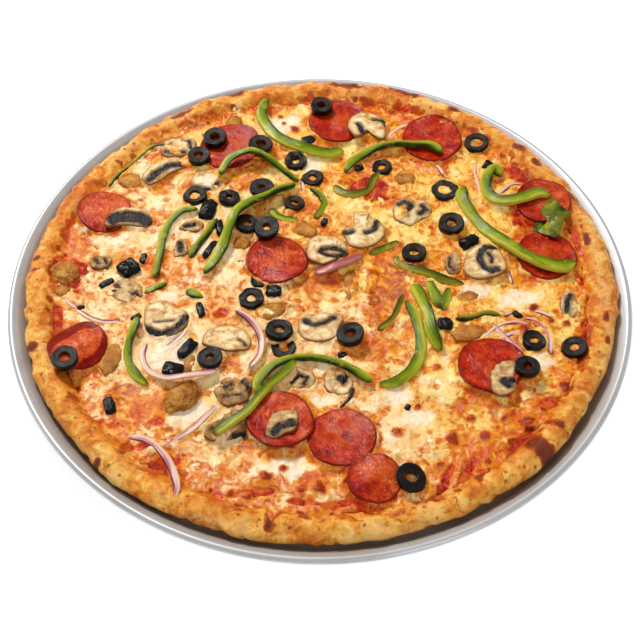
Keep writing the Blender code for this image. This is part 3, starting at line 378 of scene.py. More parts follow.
# Where flour stayed on the crust, and where oil soaked in.
FLOURY = [(44, -186, 60, 9, 6), (183, 0, 150, 7, 92), (-160, -112, 90, 9, -55), (-60, -180, 44, 8, -14),
          (100, -166, 50, 8, 28), (-140, -134, 50, 8, -44), (178, -84, 40, 8, 62)]
OILY_CRUST = [
    (-176, 40, 60, 12, 80), (-178, -10, 50, 12, 92), (-150, 96, 60, 10, 50), (0, 182, 120, 9, 0),
    (120, 138, 90, 9, -42), (176, 10, 80, 9, 92), (168, -66, 60, 10, 70), (120, -132, 70, 8, 40),
    (0, -172, 100, 8, 0), (-90, -150, 80, 9, -30), (-150, -92, 70, 10, -60), (-40, 180, 50, 12, 12),
]


# Random relief

# Random numbers along each side of the table that a noise is drawn from.
LATTICE = 97
# The noise that crumples the olive rings would otherwise differ from run to run.
noise.seed_set(1)


def lumps(x, y, size, seed, octaves=3, gain=0.5):
    """Smooth random heights, -1 to 1, whose largest lumps are about that far across."""
    total, weight = np.zeros_like(x), 0.0
    for octave in range(octaves):
        table = np.random.default_rng(seed + 101 * octave).uniform(-1, 1, (LATTICE, LATTICE))
        turn, zoom = 0.6 + 1.1 * octave, 2**octave / size
        u = (x * math.cos(turn) - y * math.sin(turn)) * zoom + LATTICE
        v = (x * math.sin(turn) + y * math.cos(turn)) * zoom + LATTICE
        i, j = np.floor(u).astype(int), np.floor(v).astype(int)
        s, t = u - i, v - j
        s, t = s * s * (3 - 2 * s), t * t * (3 - 2 * t)
        near, far = (table[i % LATTICE, k % LATTICE] * (1 - s) + table[(i + 1) % LATTICE, k % LATTICE] * s
                     for k in (j, j + 1))
        total += gain**octave * (near * (1 - t) + far * t)
        weight += gain**octave
    return total / weight * 1.4


def strokes(x, y, table, soft):
    """How much each place lies on one of the strokes, 0 to 1."""
    found = np.zeros_like(x)
    for width, points in table:
        nearest = np.full_like(x, np.inf)
        for (ax, ay), (bx, by) in zip(points, points[1:]):
            u, v = bx - ax, by - ay
            along = np.clip(((x - ax) * u + (y - ay) * v) / (u**2 + v**2), 0, 1)
            nearest = np.minimum(nearest, np.hypot(x - ax - along * u, y - ay - along * v))
        found = np.maximum(found, ease(width / 2 + soft, width / 2 - soft, nearest))
    return found


def nearest_point(x, y, size, seed):
    """Distance to the nearest of some scattered points about that far apart, in shares of it."""
    scatter = np.random.default_rng(seed).uniform(0.1, 0.9, (LATTICE, LATTICE, 2))
    u, v = x / size + LATTICE, y / size + LATTICE
    i, j = np.floor(u).astype(int), np.floor(v).astype(int)
    nearest = np.full_like(x, 9.0)
    for a in (-1, 0, 1):
        for b in (-1, 0, 1):
            point = scatter[(i + a) % LATTICE, (j + b) % LATTICE]
            nearest = np.minimum(nearest, np.hypot(i + a + point[..., 0] - u, j + b + point[..., 1] - v))
    return nearest


def ease(low, high, value):
    """0 below low, 1 above high, and smooth between."""
    share = np.clip((value - low) / (high - low), 0, 1)
    return share * share * (3 - 2 * share)


def patches(x, y, table, ragged, soft, seed):
    """How much each place lies in one of the ovals, 0 to 1, with ragged edges."""
    wander = ragged * lumps(x, y, 7.0, seed, 4, 0.6)
    found = np.zeros_like(x)
    for cx, cy, length, width, turn in table:
        cosine, sine = math.cos(math.radians(turn)), math.sin(math.radians(turn))
        u = ((x - cx) * cosine + (y - cy) * sine) / (0.5 * length)
        v = ((y - cy) * cosine - (x - cx) * sine) / (0.5 * width)
        found = np.maximum(found, ease(1 + soft, 1 - soft, np.hypot(u, v) + wander))
    return found


def ring_waves(table, way):
    """The sum of some waves round a circle."""
    return sum(size * np.sin(count * way + math.radians(phase)) for count, size, phase in table)


# Meshes


def mesh_of(shape, name="piece"):
    """A mesh from a bmesh, whose faces point outwards."""
    bmesh.ops.recalc_face_normals(shape, faces=shape.faces)
    mesh = bpy.data.meshes.new(name)
    shape.to_mesh(mesh)
    shape.free()
    return mesh


def points_of(mesh):
    """The mesh's points, one a row."""
    flat = np.empty(3 * len(mesh.vertices))
    mesh.vertices.foreach_get("co", flat)
    return flat.reshape(-1, 3)


def put_points(mesh, points):
    """Moves the mesh's points."""
    mesh.vertices.foreach_set("co", np.asarray(points, np.float32).ravel())
    mesh.update()


def put_layers(mesh, **layers):
    """Keeps named numbers for each point of the mesh, for its material to read."""
    for name, values in layers.items():
        layer = mesh.attributes.get(name) or mesh.attributes.new(name, "FLOAT", "POINT")
        layer.data.foreach_set("value", np.full(len(mesh.vertices), values, np.float32))


def spun(profile, steps, hollow=False):
    """A mesh turned about Z from (radius, height) points, from axis to axis, or all round a hollow."""
    shape = bmesh.new()
    line = [shape.verts.new((radius, 0, height)) for radius, height in profile]
    following = line[1:] + line[:1] if hollow else line[1:]
    edges = [shape.edges.new(pair) for pair in zip(line, following)]
    bmesh.ops.spin(shape, geom=line + edges, axis=(0, 0, 1), cent=(0, 0, 0), dvec=(0, 0, 0),
                   angle=math.tau, steps=steps, use_merge=True, use_duplicate=False)
    bmesh.ops.remove_doubles(shape, verts=shape.verts, dist=1e-5)
    return mesh_of(shape)


def layer_mesh(cells, foot_share):
    """A round sheet of even squares with radius 1, whose edge is drawn in to a smaller foot."""
    shape = bmesh.new()
    bmesh.ops.create_grid(shape, x_segments=cells, y_segments=cells, size=1)
    for vert in shape.verts:
        x, y = vert.co.xy
        vert.co.xy = x * math.sqrt(1 - y * y / 2), y * math.sqrt(1 - x * x / 2)
    for share in (foot_share, 0.0):
        edge = [e for e in shape.edges if e.is_boundary]
        made = bmesh.ops.extrude_edge_only(shape, edges=edge)["geom"]
        low = [item for item in made if isinstance(item, bmesh.types.BMVert)]
        for vert in low:
            vert.co.xy *= share
    bmesh.ops.pointmerge(shape, verts=low, merge_co=(0, 0, 0))
    return mesh_of(shape)


def rod(sides, rings):
    """A closed rod along Z from 0 to 1 with radius 1."""
    shape = bmesh.new()
    bmesh.ops.create_cone(shape, cap_ends=True, segments=sides, radius1=1, radius2=1, depth=1)
    long_edges = [e for e in shape.edges if abs(e.verts[0].co.z - e.verts[1].co.z) > 0.5]
    bmesh.ops.subdivide_edges(shape, edges=long_edges, cuts=rings - 1, use_grid_fill=True)
    bmesh.ops.translate(shape, verts=shape.verts, vec=(0, 0, 0.5))
    return mesh_of(shape)


def ball(fineness):
    """A ball of even triangles with radius 1."""
    shape = bmesh.new()
    bmesh.ops.create_icosphere(shape, subdivisions=fineness, radius=1)
    return mesh_of(shape)


def joined(meshes):
    """One mesh from several, with their layers."""
    shape = bmesh.new()
    for mesh in meshes:
        shape.from_mesh(mesh)
    whole = bpy.data.meshes.new("joined")
    shape.to_mesh(whole)
    shape.free()
    return whole


def dress(name, mesh, look, *nodes):
    """Puts a finished mesh, in millimetres, in the scene, in place of those nodes."""
    put_points(mesh, points_of(mesh) * MM)
    mesh.materials.append(LOOKS[look])
    mesh.shade_smooth()
    piece = bpy.data.objects.new(name, mesh)
    bpy.context.scene.collection.objects.link(piece)
    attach(piece, "root")
    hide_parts(*nodes)
    return piece


def smooth_path(points, step):
    """Evenly spaced points along a smooth curve through the given ones."""
    keys = np.array([*points], float)
    keys = np.vstack([2 * keys[0] - keys[1], keys, 2 * keys[-1] - keys[-2]])
    t = np.linspace(0, 1, 14, endpoint=False)[:, None]
    fine = [
        0.5 * (2 * b + (c - a) * t + (2 * a - 5 * b + 4 * c - d) * t**2 + (3 * b - a - 3 * c + d) * t**3)
        for a, b, c, d in zip(keys, keys[1:], keys[2:], keys[3:])
    ]
    fine = np.vstack([*fine, keys[-2:-1]])
    gone = np.r_[0, np.cumsum(np.linalg.norm(np.diff(fine, axis=0), axis=1))]
    places = np.linspace(0, gone[-1], max(4, int(gone[-1] / step) + 1))
    return np.column_stack([np.interp(places, gone, column) for column in fine.T])


def eased_line(values, reach):
    """A line of numbers, each replaced by the mean of its neighbours out to that reach."""
    padded = np.pad(values, reach, mode="edge")
    return np.convolve(padded, np.ones(2 * reach + 1) / (2 * reach + 1), "valid")


# Finishes


def shade(*screen):
    """A colour given in 8-bit screen values."""
    return tuple(((c / 255 + 0.055) / 1.055) ** 2.4 if c > 10 else c / 255 / 12.92 for c in screen)


class Share:
    """A number that a finish works out at each place, which adds and multiplies like any other."""

    def __init__(self, look, socket):
        self.look, self.socket = look, socket

    def __add__(self, other):
        return self.look.sum_of("ADD", self, other)

    def __sub__(self, other):
        return self + other * -1

    def __mul__(self, other):
        return self.look.sum_of("MULTIPLY", self, other)

    __rmul__ = __mul__


class Finish:
    """A material whose tone, roughness and bump are built up step by step."""

    def __init__(self, name, **sockets):
        self.material = bpy.data.materials.new(name)
        self.material.use_nodes = True
        self.nodes, self.links = self.material.node_tree.nodes, self.material.node_tree.links
        self.shader = self.nodes["Principled BSDF"]
        for socket, value in {"Specular_IOR_Level": 0.25, **sockets}.items():
            self.shader.inputs[socket.replace("_", " ")].default_value = value
        self.place = self.nodes.new("ShaderNodeTexCoord").outputs["Object"]
        self.normal = self.tone = None

    def put(self, value, socket):
        """Links a value to a socket, or sets it there. A colour is given in 8-bit screen values."""
        if isinstance(value, Share):
            value = value.socket
        if isinstance(value, bpy.types.NodeSocket):
            self.links.new(value, socket)
        else:
            socket.default_value = (*shade(*value), 1) if socket.type == "RGBA" else value

    def node(self, kind, inputs, **settings):
        """A new node with those settings and inputs."""
        node = self.nodes.new("ShaderNode" + kind)
        for name, value in settings.items():
            setattr(node, name, value)
        for name, value in inputs.items():
            self.put(value, node.inputs[name])
        return node

    def layer(self, name):
        """A number that the mesh keeps for each point."""
        return Share(self, self.node("Attribute", {}, attribute_name=name).outputs["Fac"])

    def stretched(self, x, y, z):
        """The place on the piece, with each direction stretched by that much."""
        inputs = {"Vector": self.place, "Scale": (1 / x, 1 / y, 1 / z)}
        return self.node("Mapping", inputs).outputs["Vector"]

    def along_strip(self, along, across):
        """A place that follows a strip, from its own layers."""
        inputs = {"X": self.layer("along") * (MM * along), "Y": self.layer("across") * (MM * across),
                  "Z": self.layer("draw")}
        return self.node("CombineXYZ", inputs).outputs["Vector"]

    def grain(self, size, detail=4.0, roughness=0.55, where=None, twist=0.0):
        """Cloudy noise with lumps about that many millimetres across."""
        inputs = {"Vector": where or self.place, "Scale": 0.5 / (size * MM), "Detail": detail,
                  "Roughness": roughness, "Distortion": twist}
        return Share(self, self.node("TexNoise", inputs).outputs["Fac"])

    def spots(self, size, reach, share, wander=None):
        """Round spots on that share of some scattered points."""
        cells = self.node("TexVoronoi", {"Vector": self.place, "Scale": 1 / (size * MM)})
        draw = self.node("SeparateColor", {"Color": cells.outputs["Color"]}).outputs["Red"]
        near = Share(self, cells.outputs["Distance"])
        if wander is not None:
            near += 0.7 * (wander - 0.5)
        return self.span(near, reach, 0.55 * reach) * self.sum_of("LESS_THAN", draw, share)

    def sum_of(self, operation, *values):
        node = self.node("Math", dict(enumerate(values)), operation=operation)
        return Share(self, node.outputs["Value"])

    def span(self, value, low, high, to_low=0.0, to_high=1.0):
        """The value carried from one range to another, clamped and smooth."""
        inputs = {"Value": value, "From Min": low, "From Max": high, "To Min": to_low, "To Max": to_high}
        node = self.node("MapRange", inputs, interpolation_type="SMOOTHSTEP")
        return Share(self, node.outputs["Result"])

    def mixed(self, share, first, second):
        """Two colours mixed by the share of the second."""
        return self.node("Mix", {"Factor": share, 6: first, 7: second}, data_type="RGBA").outputs[2]

    def scale(self, value, stops):
        """Colours along a scale, each given with its place there."""
        node = self.node("ValToRGB", {"Fac": value})
        ramp = node.color_ramp
        while len(ramp.elements) < len(stops):
            ramp.elements.new(0.5)
        for element, (place, colour) in zip(ramp.elements, stops.items()):
            element.position, element.color = place, (*shade(*colour), 1)
        return node.outputs["Color"]

    def tint(self, colour, value, low=None, high=None, most=1.0):
        """Lays a colour over the tone by the value, or by how far the value is from low to high."""
        share = value if low is None else self.span(value, low, high, 0.0, most)
        self.tone = self.mixed(share, self.tone, colour)

    def bump(self, height, depth):
        """Adds relief of that many millimetres."""
        node = self.node("Bump", {"Distance": depth * MM, "Height": height})
        if self.normal:
            self.put(self.normal, node.inputs["Normal"])
        self.normal = node.outputs["Normal"]

    def done(self, roughness=None):
        """The finished material."""
        for value, name in ((self.tone, "Base Color"), (roughness, "Roughness"), (self.normal, "Normal")):
            if value is not None:
                self.put(value, self.shader.inputs[name])
        return self.material


def pan_aluminium():
    """Spun aluminium: fine turned lines, faint smudges and a browner baked tone on the floor."""
    look = Finish("spun_aluminium", Metallic=0.35, Specular_IOR_Level=0.5)
    x, y, z = (Share(look, axis) for axis in look.node("SeparateXYZ", {"Vector": look.place}).outputs)
    reach = look.sum_of("SQRT", look.sum_of("POWER", x, 2.0) + look.sum_of("POWER", y, 2.0))
    around = look.node("CombineXYZ", {"X": reach, "Y": 0.7 * z}).outputs["Vector"]
    turned, smudge = look.grain(0.5, 3, 0.7, around), look.grain(26, 5, 0.6)
    look.tone = look.mixed(look.span(smudge, 0.4, 0.75), (196, 198, 201), (178, 177, 176))
    look.tint((158, 157, 158), turned, 0.35, 0.7, 0.35)
    look.tint((184, 160, 138), look.layer("baked") * look.span(smudge, 0.3, 0.6, 0.1, 0.35))
    look.bump(turned, 0.03)
    return look.done(look.span(turned, 0.2, 0.8, 0.26, 0.4) + look.span(smudge, 0.3, 0.8, 0.0, 0.1))


def baked_crust():
    """Golden crust: paler floury sides, orange where oil soaked in, brown where it toasted, painted shade low
    down.
    """
    look = Finish("baked_crust", Roughness=0.6)
    broad, medium = look.grain(17, 4, 0.6), look.grain(5.5, 5, 0.68, twist=0.7)
    fine, pores = look.grain(1.8, 6, 0.74), look.grain(0.7, 4, 0.75)
    oily, flour = look.layer("oily"), look.layer("flour")
    look.tone = look.scale(medium, {0.3: (164, 68, 4), 0.41: (212, 118, 22), 0.53: (242, 168, 60),
                                    0.67: (254, 214, 126)})
    look.tint((248, 198, 112), broad, 0.52, 0.66, 0.7)
    look.tint((202, 96, 10), broad, 0.47, 0.32, 0.8)
    look.tint((152, 66, 6), fine, 0.53, 0.66, 0.65)
    soaked = look.scale(medium, {0.3: (176, 60, 2), 0.5: (220, 112, 10), 0.62: (242, 166, 36),
                                 0.74: (252, 208, 104)})
    look.tint(soaked, 0.85 * oily * look.span(fine + 0.5 * medium, 0.55, 0.85, 1.0, 0.3))
    look.tint((242, 196, 118), 0.9 * flour * look.span(fine + 0.5 * pores, 0.66, 0.9))
    # The share of brown: real toasting, and painted shade low on the rim.
    toast = look.layer("toast") + 1.4 * (fine - 0.5)
    look.tint((174, 74, 8), toast, 0.25, 0.6)
    look.tint(look.scale(fine, {0.35: (84, 24, 4), 0.65: (140, 52, 10)}), toast, 0.6, 1.0)
    freckles = look.spots(6, 0.26, 0.3, fine) * look.span(flour, 0.5, 0.1)
    look.tint((150, 58, 8), 0.8 * freckles)
    seep = look.layer("sauce") + 1.6 * (fine - 0.5)
    look.tint(look.scale(medium, {0.35: (146, 22, 2), 0.6: (208, 84, 10)}), seep, 0.3, 0.9, 0.9)
    look.tint((140, 66, 10), pores, 0.6, 0.75, 0.5)
    look.bump(medium, 1.0)
    look.bump(fine, 0.8)
    look.bump(pores, 0.4)
    return look.done(look.span(fine, 0.3, 0.7, 0.36, 0.58) - 0.2 * oily)


def tomato_sauce():
    """Cooked tomato: deep red, pulpy and wet."""
    look = Finish("tomato_sauce", Roughness=0.3)
    pulp, broad = look.grain(1.8, 6, 0.7, twist=1.0), look.grain(7, 4, 0.6)
    look.tone = look.scale(pulp, {0.36: (108, 4, 0), 0.5: (178, 26, 0), 0.62: (226, 84, 10)})
    look.tint((228, 112, 20), broad, 0.5, 0.62, 0.7)
    look.bump(pulp, 1.6)
    return look.done(look.span(pulp, 0.3, 0.7, 0.1, 0.26))


def melted_cheese():
    """Melted cheese: cream and stringy, orange where oil came up, brown at the blisters."""
    look = Finish("melted_cheese", Roughness=0.4, Specular_IOR_Level=0.3)
    broad, curd = look.grain(20, 3, 0.55), look.grain(8.5, 5, 0.6, twist=0.8)
    strings, fine = look.grain(3.4, 4, 0.6, twist=1.4), look.grain(1.1, 4, 0.7)
    runs = look.grain(5.5, 4, 0.6, look.stretched(1.0, 1.6, 4.0), 2.2)
    pulp = 0.6 * strings + 0.4 * fine
    oil, white, brown = look.layer("oil"), look.layer("white"), look.layer("brown")

    # The cream, paler or more golden, and the orange of the oil that came up through it.
    white_cream = look.scale(curd, {0.3: (224, 150, 66), 0.43: (242, 192, 114), 0.57: (250, 222, 164),
                                    0.72: (254, 238, 204)})
    gold_cream = look.scale(curd, {0.3: (220, 134, 28), 0.43: (240, 178, 62), 0.57: (249, 212, 112),
                                   0.72: (253, 233, 164)})
    gold = look.span(look.layer("gold") + 1.2 * (strings - 0.5), 0.2, 0.8)
    look.tone = look.mixed(gold, white_cream, gold_cream)
    look.tint((220, 134, 40), strings, 0.5, 0.34, 0.5)
    orange = look.scale(strings, {0.3: (172, 58, 2), 0.44: (208, 98, 6), 0.58: (234, 144, 22),
                                  0.72: (248, 198, 84)})
    lean = 0.17 * oil - 0.15 * white + 0.4 * (broad - 0.5)
    mottle = -0.65 * curd - 0.35 * strings + (lean + 1.015)
    look.tint(orange, mottle, 0.5, 0.62, 0.94)
    look.tint((202, 66, 2), mottle, 0.64, 0.78, 0.85)
    streaks = look.span(runs, 0.54, 0.64) * look.span(white, 0.6, 0.1, 0.35, 1.0)
    look.tint((224, 116, 20), 0.55 * streaks)

    # Spots of yellow, amber and dark brown, away from the whitest places.
    look.tint((236, 164, 28), 0.62 * look.spots(9, 0.46, 0.5, curd))
    look.tint((248, 231, 203), 0.6 * white + 0.6 * strings, 0.58, 0.95, 0.9)
    look.tint((212, 98, 6), 0.8 * look.spots(9, 0.36, 0.6, fine) * look.span(white - 0.4 * oil, 0.5, 0.1))
    look.tint((146, 44, 4), 0.8 * look.spots(5.5, 0.2, 0.2, fine) * look.span(white, 0.5, 0.1))

    # Sauce that shows through, clear oil, and the scorched blisters and edge.
    red = look.scale(pulp, {0.34: (128, 6, 0), 0.46: (190, 34, 2), 0.55: (226, 84, 10), 0.66: (244, 148, 48)})
    look.tint(red, 0.5 * look.layer("sauce") + (0.7 * strings + 0.5 * curd), 0.78, 0.98)
    pool = look.span(look.layer("pool") + (curd - 0.5), 0.25, 0.5)
    look.tint(look.scale(strings, {0.34: (138, 48, 0), 0.5: (206, 100, 0), 0.64: (240, 160, 18)}), pool)
    scorch = brown + 0.5 * (fine - 0.5)
    look.tint((226, 122, 14), scorch, 0.04, 0.36, 0.9)
    burnt = look.scale(pulp, {0.36: (98, 16, 0), 0.52: (160, 44, 4), 0.64: (214, 96, 16)})
    look.tint(burnt, scorch, 0.4, 0.8)
    look.tint((70, 34, 14), 0.8 * look.spots(5.5, 0.085, 0.6))
    look.bump(curd, 2.2)
    look.bump(strings, 1.0)
    look.bump(runs, 0.6)
    look.bump(fine, 0.25)
    wet = look.span(look.grain(4, 4, 0.6), 0.38, 0.62, 0.12, 0.26)
    return look.done(wet - 0.05 * pool - 0.06 * brown + 0.04 * white)


def cured_pepperoni():
    """Cured meat: red with paler fat specks, a darker cooked rim, a painted pink sheen and a film of oil."""
    look = Finish("cured_pepperoni", Roughness=0.34, Specular_IOR_Level=0.18)
    meat, patch, fine = look.grain(3.4, 5, 0.66), look.grain(9, 4, 0.6), look.grain(0.9, 4, 0.7)
    red = look.scale(meat, {0.3: (108, 4, 0), 0.46: (160, 22, 0), 0.6: (190, 46, 0), 0.76: (222, 96, 8)})
    # The pink scale is for the painted sheen on the slices' tops.
    pink = look.scale(meat, {0.3: (164, 42, 12), 0.5: (204, 80, 30), 0.72: (232, 132, 72)})
    sheen_share = look.span(look.layer("pink") + 1.2 * (patch - 0.5), 0.35, 0.8, 0.0, 0.85)
    look.tone = look.mixed(sheen_share, red, pink)
    look.tint((208, 82, 0), look.layer("warm") * look.span(patch, 0.4, 0.62))
    look.tint((96, 8, 0), 0.65 * look.spots(1.5, 0.36, 0.4))
    # Paler fat specks, which show most within the painted sheen.
    look.tint((242, 168, 112), look.spots(1.7, 0.34, 0.4) * look.span(sheen_share, 0.0, 0.8, 0.15, 0.65))
    look.tint((108, 6, 0), look.layer("rim"), 0.88, 0.98, 0.78)
    look.bump(patch, 0.6)
    look.bump(look.grain(1.3, 3, 0.6), 0.5)
    look.bump(fine, 0.25)
    return look.done(look.span(look.grain(2.2, 4, 0.6), 0.35, 0.65, 0.1, 0.28))


def black_olive():
    """Black olive: shiny black skin, charcoal cut faces and a brown wall round the hole."""
    look = Finish("black_olive", Roughness=0.35, Specular_IOR_Level=0.22)
    cloud, fine, skin = look.grain(2.5, 4, 0.6), look.grain(0.7, 4, 0.7), look.layer("skin")
    cut = look.scale(cloud, {0.3: (4, 3, 3), 0.55: (14, 10, 9), 0.8: (48, 34, 24)})
    look.tone = look.mixed(skin, cut, (5, 4, 6))
    look.tint((96, 46, 16), look.layer("hole") * look.span(cloud, 0.3, 0.65, 0.1, 0.8))
    look.bump(cloud, 0.7)
    look.bump(fine, 0.2)
    return look.done(look.span(skin, 0.0, 1.0, 0.42, 0.12) + look.span(cloud, 0.3, 0.7, -0.06, 0.14))


def roast_pepper():
    """Green pepper: a dark skin edge, green flesh that pales inwards, wet and finely ribbed."""
    look = Finish("roast_pepper", Roughness=0.3, Specular_IOR_Level=0.2, Subsurface_Weight=0.05,
                  Subsurface_Radius=(0.6, 1.0, 0.2), Subsurface_Scale=1.5 * MM)
    ribs, cloud = look.grain(1.6, 4, 0.6, look.along_strip(0.16, 3.4)), look.grain(6, 4, 0.6)
    wander = look.span(cloud, 0.3, 0.7, -0.25, 0.25) + look.span(ribs, 0.3, 0.7, -0.18, 0.18)
    place = look.span(look.layer("across") + wander, -1.1, 1.1)
    fresh = look.scale(place, {0.0: (184, 180, 56), 0.25: (150, 156, 22), 0.6: (112, 130, 6),
                               0.84: (84, 106, 2), 0.95: (52, 76, 0), 1.0: (28, 42, 0)})
    olive = look.scale(place, {0.0: (158, 140, 38), 0.4: (118, 106, 20), 0.8: (76, 70, 8), 1.0: (36, 28, 2)})
    look.tone = look.mixed(look.layer("cooked"), fresh, olive)
    look.tint((74, 98, 6), ribs, 0.52, 0.72, 0.6)
    look.tint((188, 180, 44), cloud, 0.56, 0.7, 0.45)
    look.tint((80, 68, 8), look.layer("end"))
    look.bump(ribs, 0.9)
    look.bump(look.grain(0.8, 3, 0.6), 0.2)
    return look.done(look.span(cloud, 0.3, 0.7, 0.16, 0.3))


def soft_onion():
    """Red onion: pale flesh with pink streaks along it and a magenta edge."""
    look = Finish("soft_onion", Roughness=0.28, Subsurface_Weight=0.15, Subsurface_Radius=(1.0, 0.5, 0.6),
                  Subsurface_Scale=1.5 * MM)
    streaks = look.grain(1.4, 4, 0.6, look.along_strip(0.12, 3.0))
    place = look.span(look.layer("across") + look.span(streaks, 0.3, 0.7, -0.5, 0.5), -1.1, 1.1)
    look.tone = look.scale(place, {0.0: (226, 190, 160), 0.35: (232, 200, 184), 0.6: (214, 160, 158),
                                   0.82: (172, 90, 108), 1.0: (116, 42, 70)})
    look.tint(look.scale(streaks, {0.35: (132, 38, 44), 0.65: (188, 100, 100)}), look.layer("cooked"))
    look.tint((58, 24, 14), look.layer("burnt"))
    look.tint((140, 78, 62), 0.7 * look.layer("end"))
    look.bump(streaks, 0.4)
    return look.done(look.span(streaks, 0.3, 0.7, 0.22, 0.36))


def roast_mushroom():
    """Mushroom: cream flesh with tan stains, a thin brown skin and near-black gills."""
    look = Finish("roast_mushroom", Roughness=0.45, Specular_IOR_Level=0.3, Subsurface_Weight=0.06,
                  Subsurface_Radius=(1.0, 0.7, 0.4), Subsurface_Scale=1.2 * MM)
    cloud, fine = look.grain(3.4, 5, 0.68, twist=0.6), look.grain(0.9, 5, 0.72)
    comb = look.grain(0.5, 2, 0.5, look.stretched(1.0, 7.0, 7.0))
    rim, gills = look.layer("rim"), look.layer("gills")
    flesh = look.scale(cloud, {0.3: (150, 94, 38), 0.42: (206, 158, 90), 0.53: (238, 208, 152),
                               0.66: (251, 238, 208)})
    brown = look.scale(cloud, {0.3: (76, 38, 10), 0.44: (140, 88, 32), 0.57: (190, 142, 74),
                               0.72: (226, 192, 130)})
    look.tone = look.mixed(look.layer("cooked"), flesh, brown)
    look.tint((134, 84, 34), fine, 0.55, 0.7, 0.55)
    look.tint((172, 112, 48), rim + 0.4 * cloud, 1.0, 1.2, 0.8)
    look.tint((96, 52, 18), rim + 0.05 * fine, 0.97, 1.01, 0.65)
    look.tint((108, 72, 42), look.layer("halo"), 0.1, 0.9, 0.85)
    dark = look.scale(comb, {0.38: (4, 2, 2), 0.58: (16, 10, 8), 0.74: (80, 60, 44)})
    look.tint(dark, gills + look.span(fine, 0.3, 0.7, -0.35, 0.35), 0.3, 0.8)
    look.bump(cloud, 0.9)
    look.bump(fine, 0.4)
    look.bump(comb * gills, 0.8)
    return look.done(look.span(cloud, 0.3, 0.7, 0.24, 0.44))


def browned_sausage():
    """Minced sausage: tan and granular, browner on top, with dark spots of painted shade for pits and a
    little oil.
    """
    look = Finish("browned_sausage", Roughness=0.45)
    cloud, fine, grit = look.grain(4.5, 5, 0.62), look.grain(1.1, 5, 0.7), look.grain(0.6, 3, 0.7)
    look.tone = look.scale(cloud, {0.3: (130, 68, 14), 0.45: (176, 108, 32), 0.6: (202, 140, 56),
                                   0.76: (222, 168, 88)})
    look.tint((122, 62, 12), fine, 0.56, 0.7, 0.7)
    # Small dark spots: painted shade standing for pits.
    look.tint((82, 38, 8), 0.7 * look.spots(1.9, 0.26, 0.35))
    look.tint((204, 96, 16), look.layer("low"), 0.3, 1.0, 0.7)
    look.bump(cloud, 0.8)
    look.bump(fine, 0.7)
    look.bump(grit, 0.3)
    return look.done(look.span(cloud, 0.3, 0.7, 0.3, 0.5))


# Pan and crust


def pan():
    """The pan: flat floor, curved side, a crease and a rolled bead."""
    angles = np.radians(range(-120, 150, 18))
    bead = [(BEAD_MIDDLE[0] + 2.5 * math.cos(a), BEAD_MIDDLE[1] + 2.3 * math.sin(a)) for a in angles]
    outside, inside = smooth_path(PAN_OUTSIDE, 1.2), smooth_path(PAN_INSIDE, 1.2)
    mesh = spun([(0, 0), (90, 0), *outside, *bead, *inside, (90, PAN_FLOOR), (0, PAN_FLOOR)], 240)
    x, y, z = points_of(mesh).T
    put_layers(mesh, baked=ease(198, 193, np.hypot(x, y)))
    return mesh


def crust():
    """The dough: a flat foot, a puffed and dented rim, and a hollow for the sauce."""
    section = smooth_path(CRUST_SECTION, 1.1)
    mesh = spun([(0, DOUGH_FOOT), (120, DOUGH_FOOT), *section, (120, DOUGH_FLOOR), (0, DOUGH_FLOOR)], 960)
    x, y, z = points_of(mesh).T
    reach, way = np.hypot(x, y), np.arctan2(y, x)
    rim = ease(170, 176, reach) * ease(2.2, 9.0, z)
    out = ease(182, 187, reach) * rim
    high = ease(13.0, 18.0, z) * rim
    pull = 1 + ring_waves(CRUST_OUT_WAVES, way) * out / np.maximum(reach, 1)
    x, y, z = x * pull, y * pull, z + ring_waves(CRUST_UP_WAVES, way) * high

    # Swellings, dents and blisters push the rim out from the middle of its section.
    u, v = x + 0.7 * z, y + 0.6 * z
    swell = 1.0 * lumps(u, v, 28, 3, 2) + 0.45 * lumps(u, v, 10, 4, 2) + 0.25 * lumps(u, v, 3.4, 5, 2)
    dents, bubbles = ease(0.3, 0.1, nearest_point(u, v, 15, 6)), ease(0.36, 0.1, nearest_point(u, v, 19, 9))
    puff = (swell + (-1.2 * dents + 1.0 * bubbles)) * rim
    out_x, out_z = (reach - 180) / 10, (z - 11.5) / 9
    size = np.maximum(np.hypot(out_x, out_z), 0.3)
    x += puff * out_x / size * np.cos(way) + PIZZA_CENTRE[0]
    y += puff * out_x / size * np.sin(way) + PIZZA_CENTRE[1]
    z += puff * out_z / size
    put_points(mesh, np.c_[x, y, z])

    top = ease(12, 17, z)
    inner = 0.7 * ease(0.25, 0.8, lumps(x, y, 6, 33, 2)) * ease(183, 179, reach) * ease(12, 16, z)
    toast = patches(x, y, TOASTED, 0.6, 0.6, 21) * ease(6, 12, z)
    # The toast share also rises towards the bottom of the rim: painted shade there, beside the real toasted
    # patches.
    toast = toast + 0.3 * ease(0.2, 1.0, lumps(x, y, 13, 31)) * top + inner + 0.33 * ease(12, 4, z)
    soaked = patches(x, y, OILY_CRUST, 0.5, 0.5, 23) + 0.8 * ease(184, 177, reach)
    edge = ease(181, 177, reach + 3 * lumps(x, y, 5, 32))
    put_layers(mesh, toast=toast, oily=top * np.clip(soaked, 0, 1),
               flour=np.maximum(0.45 * ease(13, 7, z), patches(x, y, FLOURY, 0.5, 0.5, 22)),
               sauce=patches(x, y, SAUCE_PATCHES, 0.7, 0.5, 11) * edge)
    return mesh


# Toppings


def nodes_of(kind):
    """The model's nodes of one kind of topping, in order."""
    return sorted(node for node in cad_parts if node.startswith(kind))


def points_of_node(node):
    """A node's own points in millimetres."""
    return points_of(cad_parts[node].data) / MM


